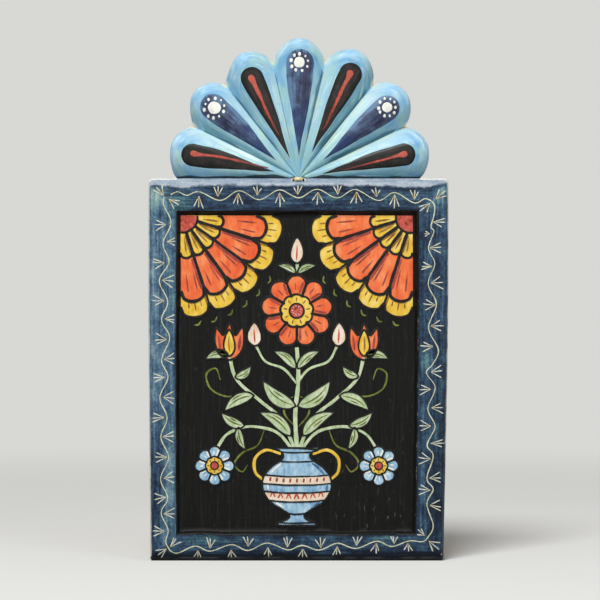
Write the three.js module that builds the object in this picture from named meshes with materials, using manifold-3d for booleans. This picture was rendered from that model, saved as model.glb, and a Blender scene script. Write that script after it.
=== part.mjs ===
// A small painted retablo: a carved pine panel with a shell crest on its top edge, hung by a leather lace.
// Millimetres, +Z up. The front faces -Y. The origin is at the middle of the panel's foot.
import * as THREE from "three";
import { mergeVertices } from "three/addons/utils/BufferGeometryUtils.js";
import Module from "manifold-3d";

// Panel
const PANEL_HEIGHT = 205;
const PANEL_TOP_WIDTH = 160.8;
const PANEL_FOOT_WIDTH = 157.2;
const PANEL_FOOT_SHIFT = -0.8; // the board was sawn a little out of square
const BOARD_THICKNESS = 19;
const PANEL_CORNER_RADIUS = 1.6;
const BEVEL_DEPTH = 2.8;
const TOP_BEVEL_WIDTH = 3.8;
const SIDE_BEVEL_WIDTH = 2.2;
const FOOT_BEVEL_WIDTH = 4.6;

// Sunk picture field
const TOP_BORDER = 17.6;
const FOOT_BORDER = 14.2;
const LEFT_BORDER = { top: 15.6, foot: 14.2 };
const RIGHT_BORDER = { top: 16.6, foot: 15.2 };
const FIELD_DEPTH = 2.4;
const FIELD_WALL_RUN = 1.9; // how far the sloping wall of the field leans inwards
const FIELD_CORNER_RADIUS = 1.2;

// Shell crest: a fan of evenly spaced lobes round a hub on the seam
const LOBE_COUNT = 7;
const END_LOBE_ANGLE = 14.2; // degrees from the seam up to an end lobe's ridge
const FAN_LEAN_ANGLE = 0.3; // degrees, to the right
const LONGEST_REACH = 75.4; // from the hub to the tip of a lobe at the fan's longest place
const LONGEST_AT = 0.3; // where that is, counted in lobes to the right of the middle one
const REACH_FALL = 0.42; // how much shorter a lobe is, times the square of the lobes between it and that place
const LOBE_OVERLAP = 1.2; // how far the round ends of neighbouring lobes run into each other
const CREST_FOOT_REACH = 64.5; // from the hub to each lower corner
const CREST_CROWN = 17.4; // thickness along the ridge of a lobe
const CREST_RIM = 12.6; // thickness at the tip of a lobe
const RIM_ROUNDING = 6;
const HUB_REACH = 30; // the ridges rise over this distance, from the hub's thickness to the crown
const GROOVE_DEPTH = 7; // at the outline, running out to nothing at the hub
const LOBE_CROWNING = 2.1; // 2 is a round lobe, more is a flatter one with a sharper groove

// Dowels between the panel and the crest
const DOWEL_RADIUS = 3.2;
const DOWEL_LENGTH = 30;
const DOWEL_SPREAD = 66; // between their axes
const DOWEL_FROM_BACK = 6.8;

// Leather lace
const LACE_WIDTH = 2;
const LACE_THICKNESS = 1.1;
const LACE_HOLE_SPACING = 5.4;
const LACE_DROP = 0.3; // the holes are bored this far below the seam
const LACE_FOLD_RADIUS = 0.9; // inside the fold where the lace enters a hole
const KNOT_WIDTH = 8.4;
const KNOT_DEPTH = 5.6;
const KNOT_HEIGHT = 7.6;
const TAIL_LENGTH = 9;
const TAIL_SPREAD = 6.8; // between the ends of the two tails

// Pieces that fit together without sharing a flat face keep this gap.
const FIT = 0.3;
const CUT_PAST = 1; // how far a cutter runs past the face that it opens

const CORNER_STEPS = 4;
const LOBE_STEPS = 14; // columns across a lobe
const RIDGE_STEPS = 18; // rows from the hub to the outline
const ROW_CROWDING = 1.6; // above 1 the rows lie closer together at the rounded rim
const LEAST_FACING = 0.6; // so the rounding isn't drawn out along the grooves
const ROUND_SIDES = 24;
const LACE_SIDES = 8; // three.js gives a full circle two sides for each curve segment

// The left run of the free lace, chosen by hand: [inwards, behind the back face, down], from its hole to the knot.
// The right run mirrors it.
const LACE_RUN = [
  [0.0, 0.3, 0.0],
  [0.0, 1.6, 0.0],
  [0.0, 3.7, 0.6],
  [-0.1, 5.2, 2.2],
  [-0.3, 5.8, 4.4],
  [-0.8, 5.8, 8.0],
  [-1.6, 5.3, 13.0],
  [-2.5, 4.5, 19.0],
  [-3.2, 3.6, 26.0],
  [-3.3, 2.8, 33.0],
  [-2.7, 2.3, 40.0],
  [-1.5, 2.2, 46.5],
  [-0.2, 2.6, 52.5],
  [0.7, 3.2, 57.5],
];

const BACK = BOARD_THICKNESS / 2;
const FRONT = -BACK;
const LACE_Z = PANEL_HEIGHT - LACE_DROP;
const LACE_HOLE_RADIUS = Math.hypot(LACE_WIDTH, LACE_THICKNESS) / 2 + FIT;

// The lobes from left to right. Their round ends are as wide as the spacing between them asks for.
const LOBE_SPACING = (180 - 2 * END_LOBE_ANGLE) / (LOBE_COUNT - 1);
const LOBES = Array.from({ length: LOBE_COUNT }, (_, i) => ({
  direction: 180 - END_LOBE_ANGLE - FAN_LEAN_ANGLE - LOBE_SPACING * i,
  reach: LONGEST_REACH - REACH_FALL * (i - (LOBE_COUNT - 1) / 2 - LONGEST_AT) ** 2,
}));
const SPREAD = Math.sin(THREE.MathUtils.degToRad(LOBE_SPACING / 2));
const LOBE_END_RADIUS = (LONGEST_REACH * SPREAD + LOBE_OVERLAP) / (1 + SPREAD);

const WOOD_PAINTED_BLUE = new THREE.MeshStandardMaterial({ color: 0x3d5266, roughness: 0.5 });
const WOOD_PAINTED_SKY = new THREE.MeshStandardMaterial({ color: 0x6fb0cf, roughness: 0.5 });
const BEECH = new THREE.MeshStandardMaterial({ color: 0xc9a36c, roughness: 0.75 });
const LEATHER = new THREE.MeshStandardMaterial({ color: 0xd9c07a, roughness: 0.7 });

const wasm = await Module();
wasm.setup();

function solid(geometry) {
  const bare = geometry.clone();
  bare.deleteAttribute("normal");
  bare.deleteAttribute("uv");
  const merged = mergeVertices(bare, 1e-4);
  return new wasm.Manifold(
    new wasm.Mesh({
      numProp: 3,
      vertProperties: merged.attributes.position.array,
      triVerts: new Uint32Array(merged.index.array),
    }),
  );
}

function piece(name, made, material) {
  const mesh = made.getMesh();
  const geometry = new THREE.BufferGeometry()
    .setAttribute("position", new THREE.BufferAttribute(mesh.vertProperties, 3))
    .setIndex(new THREE.BufferAttribute(mesh.triVerts, 1));
  const node = new THREE.Mesh(geometry, material);
  node.name = name;
  return node;
}

// A closed surface through outlines of [x, z] points, each at its own y, from the back to the front.
function loft(rings) {
  const count = rings[0].outline.length;
  const positions = rings.flatMap(({ y, outline }) => outline.flatMap(([x, z]) => [x, y, z]));
  const indices = [];
  for (let r = 0; r + 1 < rings.length; r++)
    for (let i = 0; i < count; i++) {
      const a = r * count + i;
      const b = r * count + ((i + 1) % count);
      indices.push(a, b, b + count, a, b + count, a + count);
    }
  const capWith = (r, turned) => {
    const flat = rings[r].outline.map(([x, z]) => new THREE.Vector2(x, z));
    for (const [a, b, c] of THREE.ShapeUtils.triangulateShape(flat, []))
      indices.push(...(turned ? [c, b, a] : [a, b, c]).map((i) => r * count + i));
  };
  capWith(0, true);
  capWith(rings.length - 1, false);
  return new THREE.BufferGeometry()
    .setAttribute("position", new THREE.Float32BufferAttribute(positions, 3))
    .setIndex(indices);
}

// A four-sided outline with rounded corners. The corners run anticlockwise as the front is seen.
function roundedOutline(corners, radius) {
  return corners.flatMap((corner, k) => {
    const towards = (other) => other.clone().sub(corner).setLength(radius).add(corner);
    const start = towards(corners[(k + 3) % 4]);
    const end = towards(corners[(k + 1) % 4]);
    return new THREE.QuadraticBezierCurve(start, corner, end).getPoints(CORNER_STEPS).map((p) => [p.x, p.y]);
  });
}

// The outline of the panel's front, with a share of its bevels taken off.
function panelOutline(share) {
  const corner = (sign, z) => {
    const up = z / PANEL_HEIGHT;
    const half = THREE.MathUtils.lerp(PANEL_FOOT_WIDTH, PANEL_TOP_WIDTH, up) / 2;
    return new THREE.Vector2(PANEL_FOOT_SHIFT * (1 - up) + sign * (half - share * SIDE_BEVEL_WIDTH), z);
  };
  const low = share * FOOT_BEVEL_WIDTH;
  const high = PANEL_HEIGHT - share * TOP_BEVEL_WIDTH;
  return roundedOutline([corner(-1, low), corner(1, low), corner(1, high), corner(-1, high)], PANEL_CORNER_RADIUS);
}

function fieldOutline(inset) {
  const topHalf = PANEL_TOP_WIDTH / 2 - inset;
  const footHalf = PANEL_FOOT_WIDTH / 2 - inset;
  const low = FOOT_BORDER + inset;
  const high = PANEL_HEIGHT - TOP_BORDER - inset;
  const corners = [
    new THREE.Vector2(PANEL_FOOT_SHIFT - footHalf + LEFT_BORDER.foot, low),
    new THREE.Vector2(PANEL_FOOT_SHIFT + footHalf - RIGHT_BORDER.foot, low),
    new THREE.Vector2(topHalf - RIGHT_BORDER.top, high),
    new THREE.Vector2(-topHalf + LEFT_BORDER.top, high),
  ];
  return roundedOutline(corners, FIELD_CORNER_RADIUS);
}

function drill(radius, from, to) {
  const along = to.clone().sub(from);
  const bit = new THREE.CylinderGeometry(radius, radius, along.length(), ROUND_SIDES);
  const turn = new THREE.Quaternion().setFromUnitVectors(new THREE.Vector3(0, 1, 0), along.normalize());
  bit.applyQuaternion(turn);
  const middle = from.clone().add(to).multiplyScalar(0.5);
  return solid(bit.translate(middle.x, middle.y, middle.z));
}

// The two lace holes run through at the seam, so each board holds part of them.
function laceHoles() {
  return [-1, 1].map((side) => {
    const x = (side * LACE_HOLE_SPACING) / 2;
    const front = new THREE.Vector3(x, FRONT - CUT_PAST, LACE_Z);
    const back = new THREE.Vector3(x, BACK + CUT_PAST, LACE_Z);
    return drill(LACE_HOLE_RADIUS, front, back);
  });
}

function dowel(side, gap) {
  const x = (side * DOWEL_SPREAD) / 2;
  const y = BACK - DOWEL_FROM_BACK;
  const half = DOWEL_LENGTH / 2 + gap;
  const low = new THREE.Vector3(x, y, PANEL_HEIGHT - half);
  const high = new THREE.Vector3(x, y, PANEL_HEIGHT + half);
  return drill(DOWEL_RADIUS + gap, low, high);
}

const dowelHoles = () => [-1, 1].map((side) => dowel(side, FIT));

function bored(board) {
  return [...laceHoles(), ...dowelHoles()].reduce((left, hole) => left.subtract(hole), board);
}

// A hand-eased bevel, from the side of the board to its face: the share of its width and of its depth.
const BEVEL_PROFILE = [
  { across: 0, deep: 1 },
  { across: 0.22, deep: 0.62 },
  { across: 0.62, deep: 0.2 },
  { across: 1, deep: 0 },
];

function panelBoard() {
  const blank = loft([
    { y: BACK, outline: panelOutline(0) },
    ...BEVEL_PROFILE.map(({ across, deep }) => ({ y: FRONT + deep * BEVEL_DEPTH, outline: panelOutline(across) })),
  ]);
  const lean = FIELD_WALL_RUN / FIELD_DEPTH;
  const pocket = loft([
    { y: FRONT + FIELD_DEPTH, outline: fieldOutline(FIELD_WALL_RUN) },
    { y: FRONT - CUT_PAST, outline: fieldOutline(-CUT_PAST * lean) },
  ]);
  return bored(solid(blank).subtract(solid(pocket)));
}

const lobeCentre = ({ direction, reach }) => {
  const angle = THREE.MathUtils.degToRad(direction);
  return new THREE.Vector2(Math.cos(angle), Math.sin(angle)).multiplyScalar(reach - LOBE_END_RADIUS);
};

// The notch where the round ends of two neighbouring lobes meet. The groove runs from it to the hub.
function notch(left, right) {
  const a = lobeCentre(left);
  const b = lobeCentre(right);
  const half = b.clone().sub(a).multiplyScalar(0.5);
  const outwards = new THREE.Vector2(-half.y, half.x).normalize();
  return a.add(half).addScaledVector(outwards, Math.sqrt(LOBE_END_RADIUS ** 2 - half.lengthSq()));
}

// The crest's outline in one direction of one lobe: how far it is, and how squarely it faces that direction.
function crestRim(lobe, angle) {
  const middle = THREE.MathUtils.degToRad(lobe.direction);
  const centre = lobe.reach - LOBE_END_RADIUS;
  const across = centre * Math.sin(angle - middle);
  const along = centre * Math.cos(angle - middle);
  const past = Math.sqrt(Math.max(LOBE_END_RADIUS ** 2 - across ** 2, 0));
  return { radius: along + past, facing: Math.max(past / LOBE_END_RADIUS, LEAST_FACING) };
}

// The end lobes are squared out to the foot's corners below their ridges.
function squaredRim(lobe, angle) {
  const rim = crestRim(lobe, angle);
  const middle = THREE.MathUtils.degToRad(lobe.direction);
  const side = lobe.direction > 90 ? Math.PI : 0;
  const towardsFoot = (angle - middle) / (side - middle);
  if (![LOBES[0], LOBES.at(-1)].includes(lobe) || towardsFoot <= 0) return rim;
  const short = CREST_FOOT_REACH - crestRim(lobe, side).radius;
  return { ...rim, radius: rim.radius + short * towardsFoot ** 3 };
}

// How far the crest's front stands in front of its back.
function crestThickness(radius, across, rim) {
  const hub = BOARD_THICKNESS - BEVEL_DEPTH; // level with the panel's bevel at the seam
  const crown = THREE.MathUtils.lerp(hub, CREST_CROWN, THREE.MathUtils.smoothstep(radius, 0, HUB_REACH));
  const groove = GROOVE_DEPTH * (radius / CREST_FOOT_REACH) * Math.abs(across) ** LOBE_CROWNING;
  const fromEdge = (rim.radius - radius) * rim.facing;
  const over = THREE.MathUtils.clamp(1 - fromEdge / RIM_ROUNDING, 0, 1);
  return crown - groove - (CREST_CROWN - CREST_RIM) * (1 - Math.sqrt(1 - over ** 2));
}

// The columns of the crest's surface, from its left foot corner round to its right one.
function crestColumns() {
  const grooves = LOBES.slice(1).map((lobe, i) => notch(LOBES[i], lobe).angle());
  const edges = [Math.PI, ...grooves, 0];
  return LOBES.flatMap((lobe, i) => {
    const middle = THREE.MathUtils.degToRad(lobe.direction);
    const last = i === LOBES.length - 1;
    return Array.from({ length: LOBE_STEPS + (last ? 1 : 0) }, (_, k) => {
      const share = (2 * k) / LOBE_STEPS - 1;
      const edge = share < 0 ? edges[i] : edges[i + 1];
      const angle = THREE.MathUtils.lerp(middle, edge, Math.abs(share));
      return { angle, across: share, rim: squaredRim(lobe, angle) };
    });
  });
}

function crestShell() {
  const columns = crestColumns();
  const hubBack = [0, BACK, PANEL_HEIGHT];
  const hubFront = [0, FRONT + BEVEL_DEPTH, PANEL_HEIGHT];
  const positions = [...hubBack, ...hubFront];
  for (const { angle, across, rim } of columns) {
    const place = (radius, y) => [radius * Math.cos(angle), y, PANEL_HEIGHT + radius * Math.sin(angle)];
    for (let row = 1; row <= RIDGE_STEPS; row++) {
      const radius = rim.radius * (1 - (1 - row / RIDGE_STEPS) ** ROW_CROWDING);
      positions.push(...place(radius, BACK - crestThickness(radius, across, rim)));
    }
    positions.push(...place(rim.radius, BACK));
  }
  const size = RIDGE_STEPS + 1;
  const at = (column, row) => 2 + column * size + (row - 1); // row size is the column's point on the back
  const indices = [];
  for (let k = 0; k + 1 < columns.length; k++) {
    indices.push(1, at(k + 1, 1), at(k, 1));
    for (let row = 1; row <= RIDGE_STEPS; row++)
      indices.push(at(k, row), at(k + 1, row), at(k + 1, row + 1), at(k, row), at(k + 1, row + 1), at(k, row + 1));
    indices.push(0, at(k, size), at(k + 1, size));
  }
  // The foot, in two halves that share the edge through the hub
  const ends = [
    [0, true],
    [columns.length - 1, false],
  ];
  for (const [k, left] of ends) {
    const edge = [1, ...Array.from({ length: size }, (_, row) => at(k, row + 1))];
    for (let i = 0; i + 1 < edge.length; i++)
      indices.push(...(left ? [0, edge[i], edge[i + 1]] : [0, edge[i + 1], edge[i]]));
  }
  const geometry = new THREE.BufferGeometry()
    .setAttribute("position", new THREE.Float32BufferAttribute(positions, 3))
    .setIndex(indices);
  return bored(solid(geometry));
}

// Where the panel's top bevel lies, a given distance below the seam
function topBevelFace(below) {
  const share = below / TOP_BEVEL_WIDTH;
  const next = Math.max(BEVEL_PROFILE.findIndex(({ across }) => across >= share), 1);
  const [a, b] = [BEVEL_PROFILE[next - 1], BEVEL_PROFILE[next]];
  return FRONT + BEVEL_DEPTH * THREE.MathUtils.mapLinear(share, a.across, b.across, a.deep, b.deep);
}

// The lace's bar across the front of the seam, with its two legs through the holes
function laceStitch() {
  const bar = topBevelFace(LACE_DROP + LACE_WIDTH / 2) - FIT; // the back of the bar
  const outer = (LACE_HOLE_SPACING + LACE_THICKNESS) / 2;
  const inner = outer - LACE_THICKNESS;
  const outerFold = LACE_FOLD_RADIUS + LACE_THICKNESS;
  const foldY = bar + LACE_FOLD_RADIUS;
  const turn = Math.PI / 2;
  const shape = new THREE.Shape();
  shape.moveTo(-outer, BACK);
  shape.lineTo(-outer, foldY);
  shape.absarc(-outer + outerFold, foldY, outerFold, 2 * turn, 3 * turn, false);
  shape.lineTo(outer - outerFold, bar - LACE_THICKNESS);
  shape.absarc(outer - outerFold, foldY, outerFold, 3 * turn, 4 * turn, false);
  shape.lineTo(outer, BACK);
  shape.lineTo(inner, BACK);
  shape.lineTo(inner, foldY);
  shape.absarc(inner - LACE_FOLD_RADIUS, foldY, LACE_FOLD_RADIUS, 4 * turn, 3 * turn, true);
  shape.lineTo(LACE_FOLD_RADIUS - inner, bar);
  shape.absarc(LACE_FOLD_RADIUS - inner, foldY, LACE_FOLD_RADIUS, 3 * turn, 2 * turn, true);
  shape.lineTo(-inner, BACK);
  const strip = new THREE.ExtrudeGeometry(shape, { depth: LACE_WIDTH, bevelEnabled: false, curveSegments: 6 });
  return solid(strip.translate(0, 0, LACE_Z - LACE_WIDTH / 2));
}

function tube(points, radius, steps) {
  const section = new THREE.Shape().absarc(0, 0, radius, 0, 2 * Math.PI, false);
  const extrudePath = new THREE.CatmullRomCurve3(points);
  return solid(new THREE.ExtrudeGeometry(section, { extrudePath, steps, curveSegments: LACE_SIDES / 2 }));
}

function laceRun(side) {
  const points = LACE_RUN.map(([inwards, behind, down]) => {
    const x = side * (LACE_HOLE_SPACING / 2 - inwards);
    return new THREE.Vector3(x, BACK + behind, LACE_Z - down);
  });
  return tube(points, LACE_WIDTH / 2, 2 * LACE_RUN.length);
}

function laceKnot() {
  const runEnd = LACE_RUN.at(-1)[2];
  const y = BACK + FIT + KNOT_DEPTH / 2;
  const z = LACE_Z - runEnd - FIT - KNOT_HEIGHT / 2;
  const ball = new THREE.SphereGeometry(0.5, 16, 12).rotateX(Math.PI / 2);
  const knot = solid(ball.scale(KNOT_WIDTH, KNOT_DEPTH, KNOT_HEIGHT).translate(0, y, z));
  const tails = [-1, 1].map((side) => {
    const out = (side * TAIL_SPREAD) / 2;
    const low = z - KNOT_HEIGHT / 2;
    const points = [
      new THREE.Vector3(0.3 * out, y, z),
      new THREE.Vector3(0.6 * out, y, low),
      new THREE.Vector3(out, y, low - TAIL_LENGTH),
    ];
    return tube(points, LACE_WIDTH / 2, 8);
  });
  return knot.add(tails[0]).add(tails[1]);
}

const retablo = new THREE.Group();
retablo.add(
  piece("panel_board", panelBoard(), WOOD_PAINTED_BLUE),
  piece("crest_shell", crestShell(), WOOD_PAINTED_SKY),
  piece("crest_dowel_left", dowel(-1, 0), BEECH),
  piece("crest_dowel_right", dowel(1, 0), BEECH),
  piece("lace_stitch", laceStitch(), LEATHER),
  piece("lace_loop_left", laceRun(-1), LEATHER),
  piece("lace_loop_right", laceRun(1), LEATHER),
  piece("lace_knot", laceKnot(), LEATHER),
);

export default retablo;
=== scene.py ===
# The painted retablo, dressed: carved pine boards, gesso, brushed paint, satin varnish and a leather hanging
# lace. Lengths are in millimetres until a piece is finished, which turns its mesh to metres.
import math

import bmesh
import bpy
from mathutils import Matrix, Vector, noise
from mathutils.bvhtree import BVHTree


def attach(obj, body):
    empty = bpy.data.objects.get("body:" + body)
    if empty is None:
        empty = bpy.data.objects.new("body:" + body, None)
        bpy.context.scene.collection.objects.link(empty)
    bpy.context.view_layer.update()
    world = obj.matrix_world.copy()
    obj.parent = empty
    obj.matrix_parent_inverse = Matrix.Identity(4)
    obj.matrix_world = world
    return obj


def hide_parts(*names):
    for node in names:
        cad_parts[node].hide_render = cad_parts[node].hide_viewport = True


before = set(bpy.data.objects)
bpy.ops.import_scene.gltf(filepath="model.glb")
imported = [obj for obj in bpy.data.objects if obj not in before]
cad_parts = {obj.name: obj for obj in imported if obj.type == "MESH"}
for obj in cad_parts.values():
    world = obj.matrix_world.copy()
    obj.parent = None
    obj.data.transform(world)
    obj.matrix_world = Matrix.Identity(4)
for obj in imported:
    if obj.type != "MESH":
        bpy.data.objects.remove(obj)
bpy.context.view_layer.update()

MM = 0.001

# The boards, as the CAD model has them
PANEL_HEIGHT = 205
PANEL_TOP_WIDTH = 160.8
PANEL_FOOT_WIDTH = 157.2
PANEL_FOOT_SHIFT = -0.8
BACK = 9.5
FRONT = -9.5
PANEL_CORNER_RADIUS = 1.6
WORN_CORNER_RADIUS = 2.5  # the top corners as they are now, rubbed rounder
BEVEL_DEPTH = 2.8
BEVEL_EASE = 1.7  # above 1 the bevel rounds over into the board's face
TOP_BEVEL = 3.8
SIDE_BEVEL = 2.2
FOOT_BEVEL = 4.6
TOP_BORDER = 17.6
FOOT_BORDER = 14.2
LEFT_BORDER = (14.2, 15.6)  # at the foot and at the top
RIGHT_BORDER = (15.2, 16.6)
FIELD_DEPTH = 2.4
FIELD_WALL = 1.9
FIELD_FLOOR = FRONT + FIELD_DEPTH

# The crest: a fan of evenly spaced lobes, longest a little to the right of the middle one
LOBE_COUNT = 7
END_LOBE_ANGLE = 14.2  # degrees from the seam up to an end lobe's ridge
FAN_LEAN_ANGLE = 0.3
LONGEST_REACH = 75.4
LONGEST_AT = 0.3
REACH_FALL = 0.42
LOBE_OVERLAP = 1.2
LOBE_SPACING = (180 - 2 * END_LOBE_ANGLE) / (LOBE_COUNT - 1)
SPREAD = math.sin(math.radians(LOBE_SPACING / 2))
LOBE_END_RADIUS = (LONGEST_REACH * SPREAD + LOBE_OVERLAP) / (1 + SPREAD)
LOBES = [
    (
        180 - END_LOBE_ANGLE - FAN_LEAN_ANGLE - LOBE_SPACING * i,
        LONGEST_REACH - REACH_FALL * (i - (LOBE_COUNT - 1) / 2 - LONGEST_AT) ** 2,
    )
    for i in range(LOBE_COUNT)
]
CREST_FOOT_REACH = 64.5
CREST_CROWN = 17.4
CREST_RIM = 12.6
RIM_ROUNDING = 6
HUB_REACH = 30
HUB_THICKNESS = BACK - FRONT - BEVEL_DEPTH
GROOVE_DEPTH = 7
LOBE_CROWNING = 2.1
LEAST_FACING = 0.6

DOWEL_RADIUS = 3.2
DOWEL_LENGTH = 30
DOWEL_SPREAD = 66
DOWEL_FROM_BACK = 6.8
FIT = 0.3

LACE_WIDTH = 2
LACE_THICKNESS = 1.1
LACE_HOLE_SPACING = 5.4
LACE_HOLE_RADIUS = 1.44
LACE_Z = 204.7

# The photograph's frame: a pixel is 0.5356 mm at the object's front.
PIXEL = 0.5356
HUB_PIXEL = 298.4
FOOT_PIXEL = 561
FRAME_PIXELS = 600


def seen_at(x, y):
    """Where a pixel of the frame lies on the object's front."""
    return (x - HUB_PIXEL) * PIXEL, (FOOT_PIXEL - y) * PIXEL


def clamp(value, low=0.0, high=1.0):
    return min(max(value, low), high)


def ramp_between(value, low, high):
    """0 below low, 1 above high, and smooth between."""
    t = clamp((value - low) / (high - low))
    return t * t * (3 - 2 * t)


def mix(a, b, share):
    return a + (b - a) * share


def sway(along, seed, grain):
    """A slow wander between -1 and 1, as of a hand with a brush or a gouge."""
    return noise.noise(Vector((along / grain, seed * 7.31, seed * 1.77)))


def smooth_path(points, steps, closed=False):
    """More points on a smooth line through some points. Their later numbers, such as a width, go along."""
    points = [Vector(p) for p in points]
    count = len(points)
    path = []
    for i in range(count if closed else count - 1):
        if closed:
            a, b, c, d = (points[(i + k) % count] for k in (-1, 0, 1, 2))
        else:
            b, c = points[i], points[i + 1]
            a = points[i - 1] if i else b * 2 - c
            d = points[i + 2] if i + 2 < count else c * 2 - b
        for k in range(steps):
            t = k / steps
            straight = b * 2 + (c - a) * t
            bend = (a * 2 - b * 5 + c * 4 - d) * t**2
            turn = (b * 3 - a - c * 3 + d) * t**3
            path.append((straight + bend + turn) / 2)
    if not closed:
        path.append(points[-1])
    return path


def new_object(name, data):
    """Adds an object to the scene."""
    made = bpy.data.objects.new(name, data)
    bpy.context.scene.collection.objects.link(made)
    return made


# Camera: level and straight on, far enough away for a nearly flat view
CAMERA_DISTANCE = 1600
camera_data = bpy.data.cameras.new("camera")
camera = new_object("camera", camera_data)
camera_data.sensor_width = 36
camera_data.lens = camera_data.sensor_width * CAMERA_DISTANCE / (FRAME_PIXELS * PIXEL)
camera_data.clip_end = 100
aim_x, aim_z = seen_at(FRAME_PIXELS / 2, FRAME_PIXELS / 2)
camera.location = Vector((aim_x, FRONT - CAMERA_DISTANCE, aim_z)) * MM
camera.rotation_euler = (math.pi / 2, 0, 0)
bpy.context.scene.camera = camera


def paint(hex_colour):
    """A colour as it is written in sRGB, made linear for a shader."""
    channels = [int(hex_colour[i : i + 2], 16) / 255 for i in (1, 3, 5)]
    return *(c / 12.92 if c <= 0.04045 else ((c + 0.055) / 1.055) ** 2.4 for c in channels), 1.0


USUAL_SETTINGS = {"MapRange": {"interpolation_type": "SMOOTHSTEP"}, "Mix": {"data_type": "RGBA"}}


def add(tree, kind, inputs=None, stops=(), out=None, **settings):
    """Adds a shader node with its settings, its values or links, and a ramp's stops. Returns the named
    output, or else the first one in use."""
    node = tree.nodes.new("ShaderNode" + kind)
    for name, value in (USUAL_SETTINGS.get(kind, {}) | settings).items():
        setattr(node, name, value)
    for name, value in (inputs or {}).items():
        socket = next(s for s in node.inputs if name in (s.name, s.identifier) and s.enabled)
        if isinstance(value, bpy.types.NodeSocket):
            tree.links.new(value, socket)
        else:
            socket.default_value = value
    for i, (place, colour) in enumerate(stops):
        elements = node.color_ramp.elements
        element = elements[i] if i < 2 else elements.new(place)
        element.position = place
        element.color = paint(colour)
    return node.outputs[out] if out else next((s for s in node.outputs if s.enabled), None)


def grains(x, y, z):
    """A Mapping node's scale for marks of so many millimetres."""
    return 1 / (x * MM), 1 / (y * MM), 1 / (z * MM)


def new_material(name):
    material = bpy.data.materials.new(name)
    material.use_nodes = True
    material.node_tree.nodes.clear()
    return material, material.node_tree


# A thin satin varnish soaks into tempera and mirrors less than a thick coat would.
VARNISH_IOR = 1.36
BOARD_VARNISH_IOR = 1.28


def surfaced(tree, colour, rough, relief, depth, ior=1.5, mark=None):
    """The shader itself. rough is the roughness, or its least and its most where a mark in the paint changes
    it. depth is the relief's height in millimetres."""
    if mark is not None:
        satin = {"Value": mark, "From Min": 0.3, "From Max": 0.7, "To Min": rough[0], "To Max": rough[1]}
        rough = add(tree, "MapRange", satin)
    bump = add(tree, "Bump", {"Height": relief, "Strength": 1.0, "Distance": depth * MM})
    values = {"Base Color": colour, "Roughness": rough, "Normal": bump, "IOR": ior}
    shader = add(tree, "BsdfPrincipled", values)
    add(tree, "OutputMaterial", {"Surface": shader})


def coated(tree, under, over, place, low, high, most=1.0, mark=None, share=1.0):
    """Lays one paint over another. It begins where the number at a place is low, and covers by most where it
    is high. A share of a mark in the paint, where one is given, makes its edge waver."""
    if mark is not None:
        values = {"Value": mark, "Value_001": share, "Value_002": place}
        place = add(tree, "Math", values, operation="MULTIPLY_ADD")
    cover = add(tree, "MapRange", {"Value": place, "From Min": low, "From Max": high, "To Max": most})
    over = paint(over) if isinstance(over, str) else over
    return add(tree, "Mix", {"Factor": cover, "A": under, "B": over})


def bare_pine(name, along="z"):
    """Planed pine: pale, with darker latewood lines about 3 mm apart along the board, soft plane marks and a
    dull surface."""
    material, tree = new_material(name)
    lines = (3.2, 9, 140) if along == "z" else (140, 9, 3.2)
    fibres = (0.35, 0.6, 14) if along == "z" else (14, 0.6, 0.35)
    place = add(tree, "TexCoord", out="Object")
    marks = {}
    for mark, size, detail, roughness in (
        ("line", lines, 2, 0.4),
        ("fibre", fibres, 2, 0.55),
        ("dirt", (40, 40, 40), 4, 0.55),
    ):
        scaled = add(tree, "Mapping", {"Vector": place, "Scale": grains(*size)})
        values = {"Vector": scaled, "Scale": 1.0, "Detail": detail, "Roughness": roughness}
        marks[mark] = add(tree, "TexNoise", values)
    value = add(tree, "Mix", {"Factor": 0.28, "A": marks["line"], "B": marks["fibre"]}, data_type="FLOAT")
    stops = ((0.3, "#b98a55"), (0.44, "#cfa774"), (0.55, "#dcbb8b"), (0.72, "#e4c89c"))
    wood = add(tree, "ValToRGB", {"Fac": value}, stops)
    aged = coated(tree, wood, "#9a7b55", marks["dirt"], 0.5, 0.75, 0.55)
    surfaced(tree, aged, (0.62, 0.8), value, 0.25, mark=marks["fibre"])
    return material


def brushed(name, stops, streaks, clouds, rough=(0.34, 0.5), depth=0.05, cloudy=0.4, load=()):
    """Tempera or gouache laid on with a small brush and varnished: streaked, uneven in strength, satin. load
    is its colour from a full brush and from one that ran dry, as the attribute "dry" says."""
    material, tree = new_material(name)
    place = add(tree, "TexCoord", out="Object")
    marks = {}
    for mark, size, detail, roughness in (
        ("streak", streaks, 3, 0.55),
        ("cloud", (clouds, clouds, clouds), 2, 0.55),
    ):
        scaled = add(tree, "Mapping", {"Vector": place, "Scale": grains(*size)})
        values = {"Vector": scaled, "Scale": 1.0, "Detail": detail, "Roughness": roughness}
        marks[mark] = add(tree, "TexNoise", values)
    values = {"Factor": cloudy, "A": marks["streak"], "B": marks["cloud"]}
    value = add(tree, "Mix", values, data_type="FLOAT")
    colour = add(tree, "ValToRGB", {"Fac": value}, stops)
    if load:
        full_brush, dry_brush = load
        dry = add(tree, "Attribute", out="Fac", attribute_name="dry")
        colour = coated(tree, colour, full_brush, dry, 0.15, 0.0, 0.6)
        colour = coated(tree, colour, dry_brush, dry, 0.95, 1.55, 0.85, marks["streak"], 1.6)
    surfaced(tree, colour, rough, marks["streak"], depth, VARNISH_IOR, marks["streak"])
    return material


PANEL_PLACES = (
    "sideways", "paleness", "greening", "top_bevel", "foot_bevel", "foot_line", "low_field", "field", "worn"
)


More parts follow.
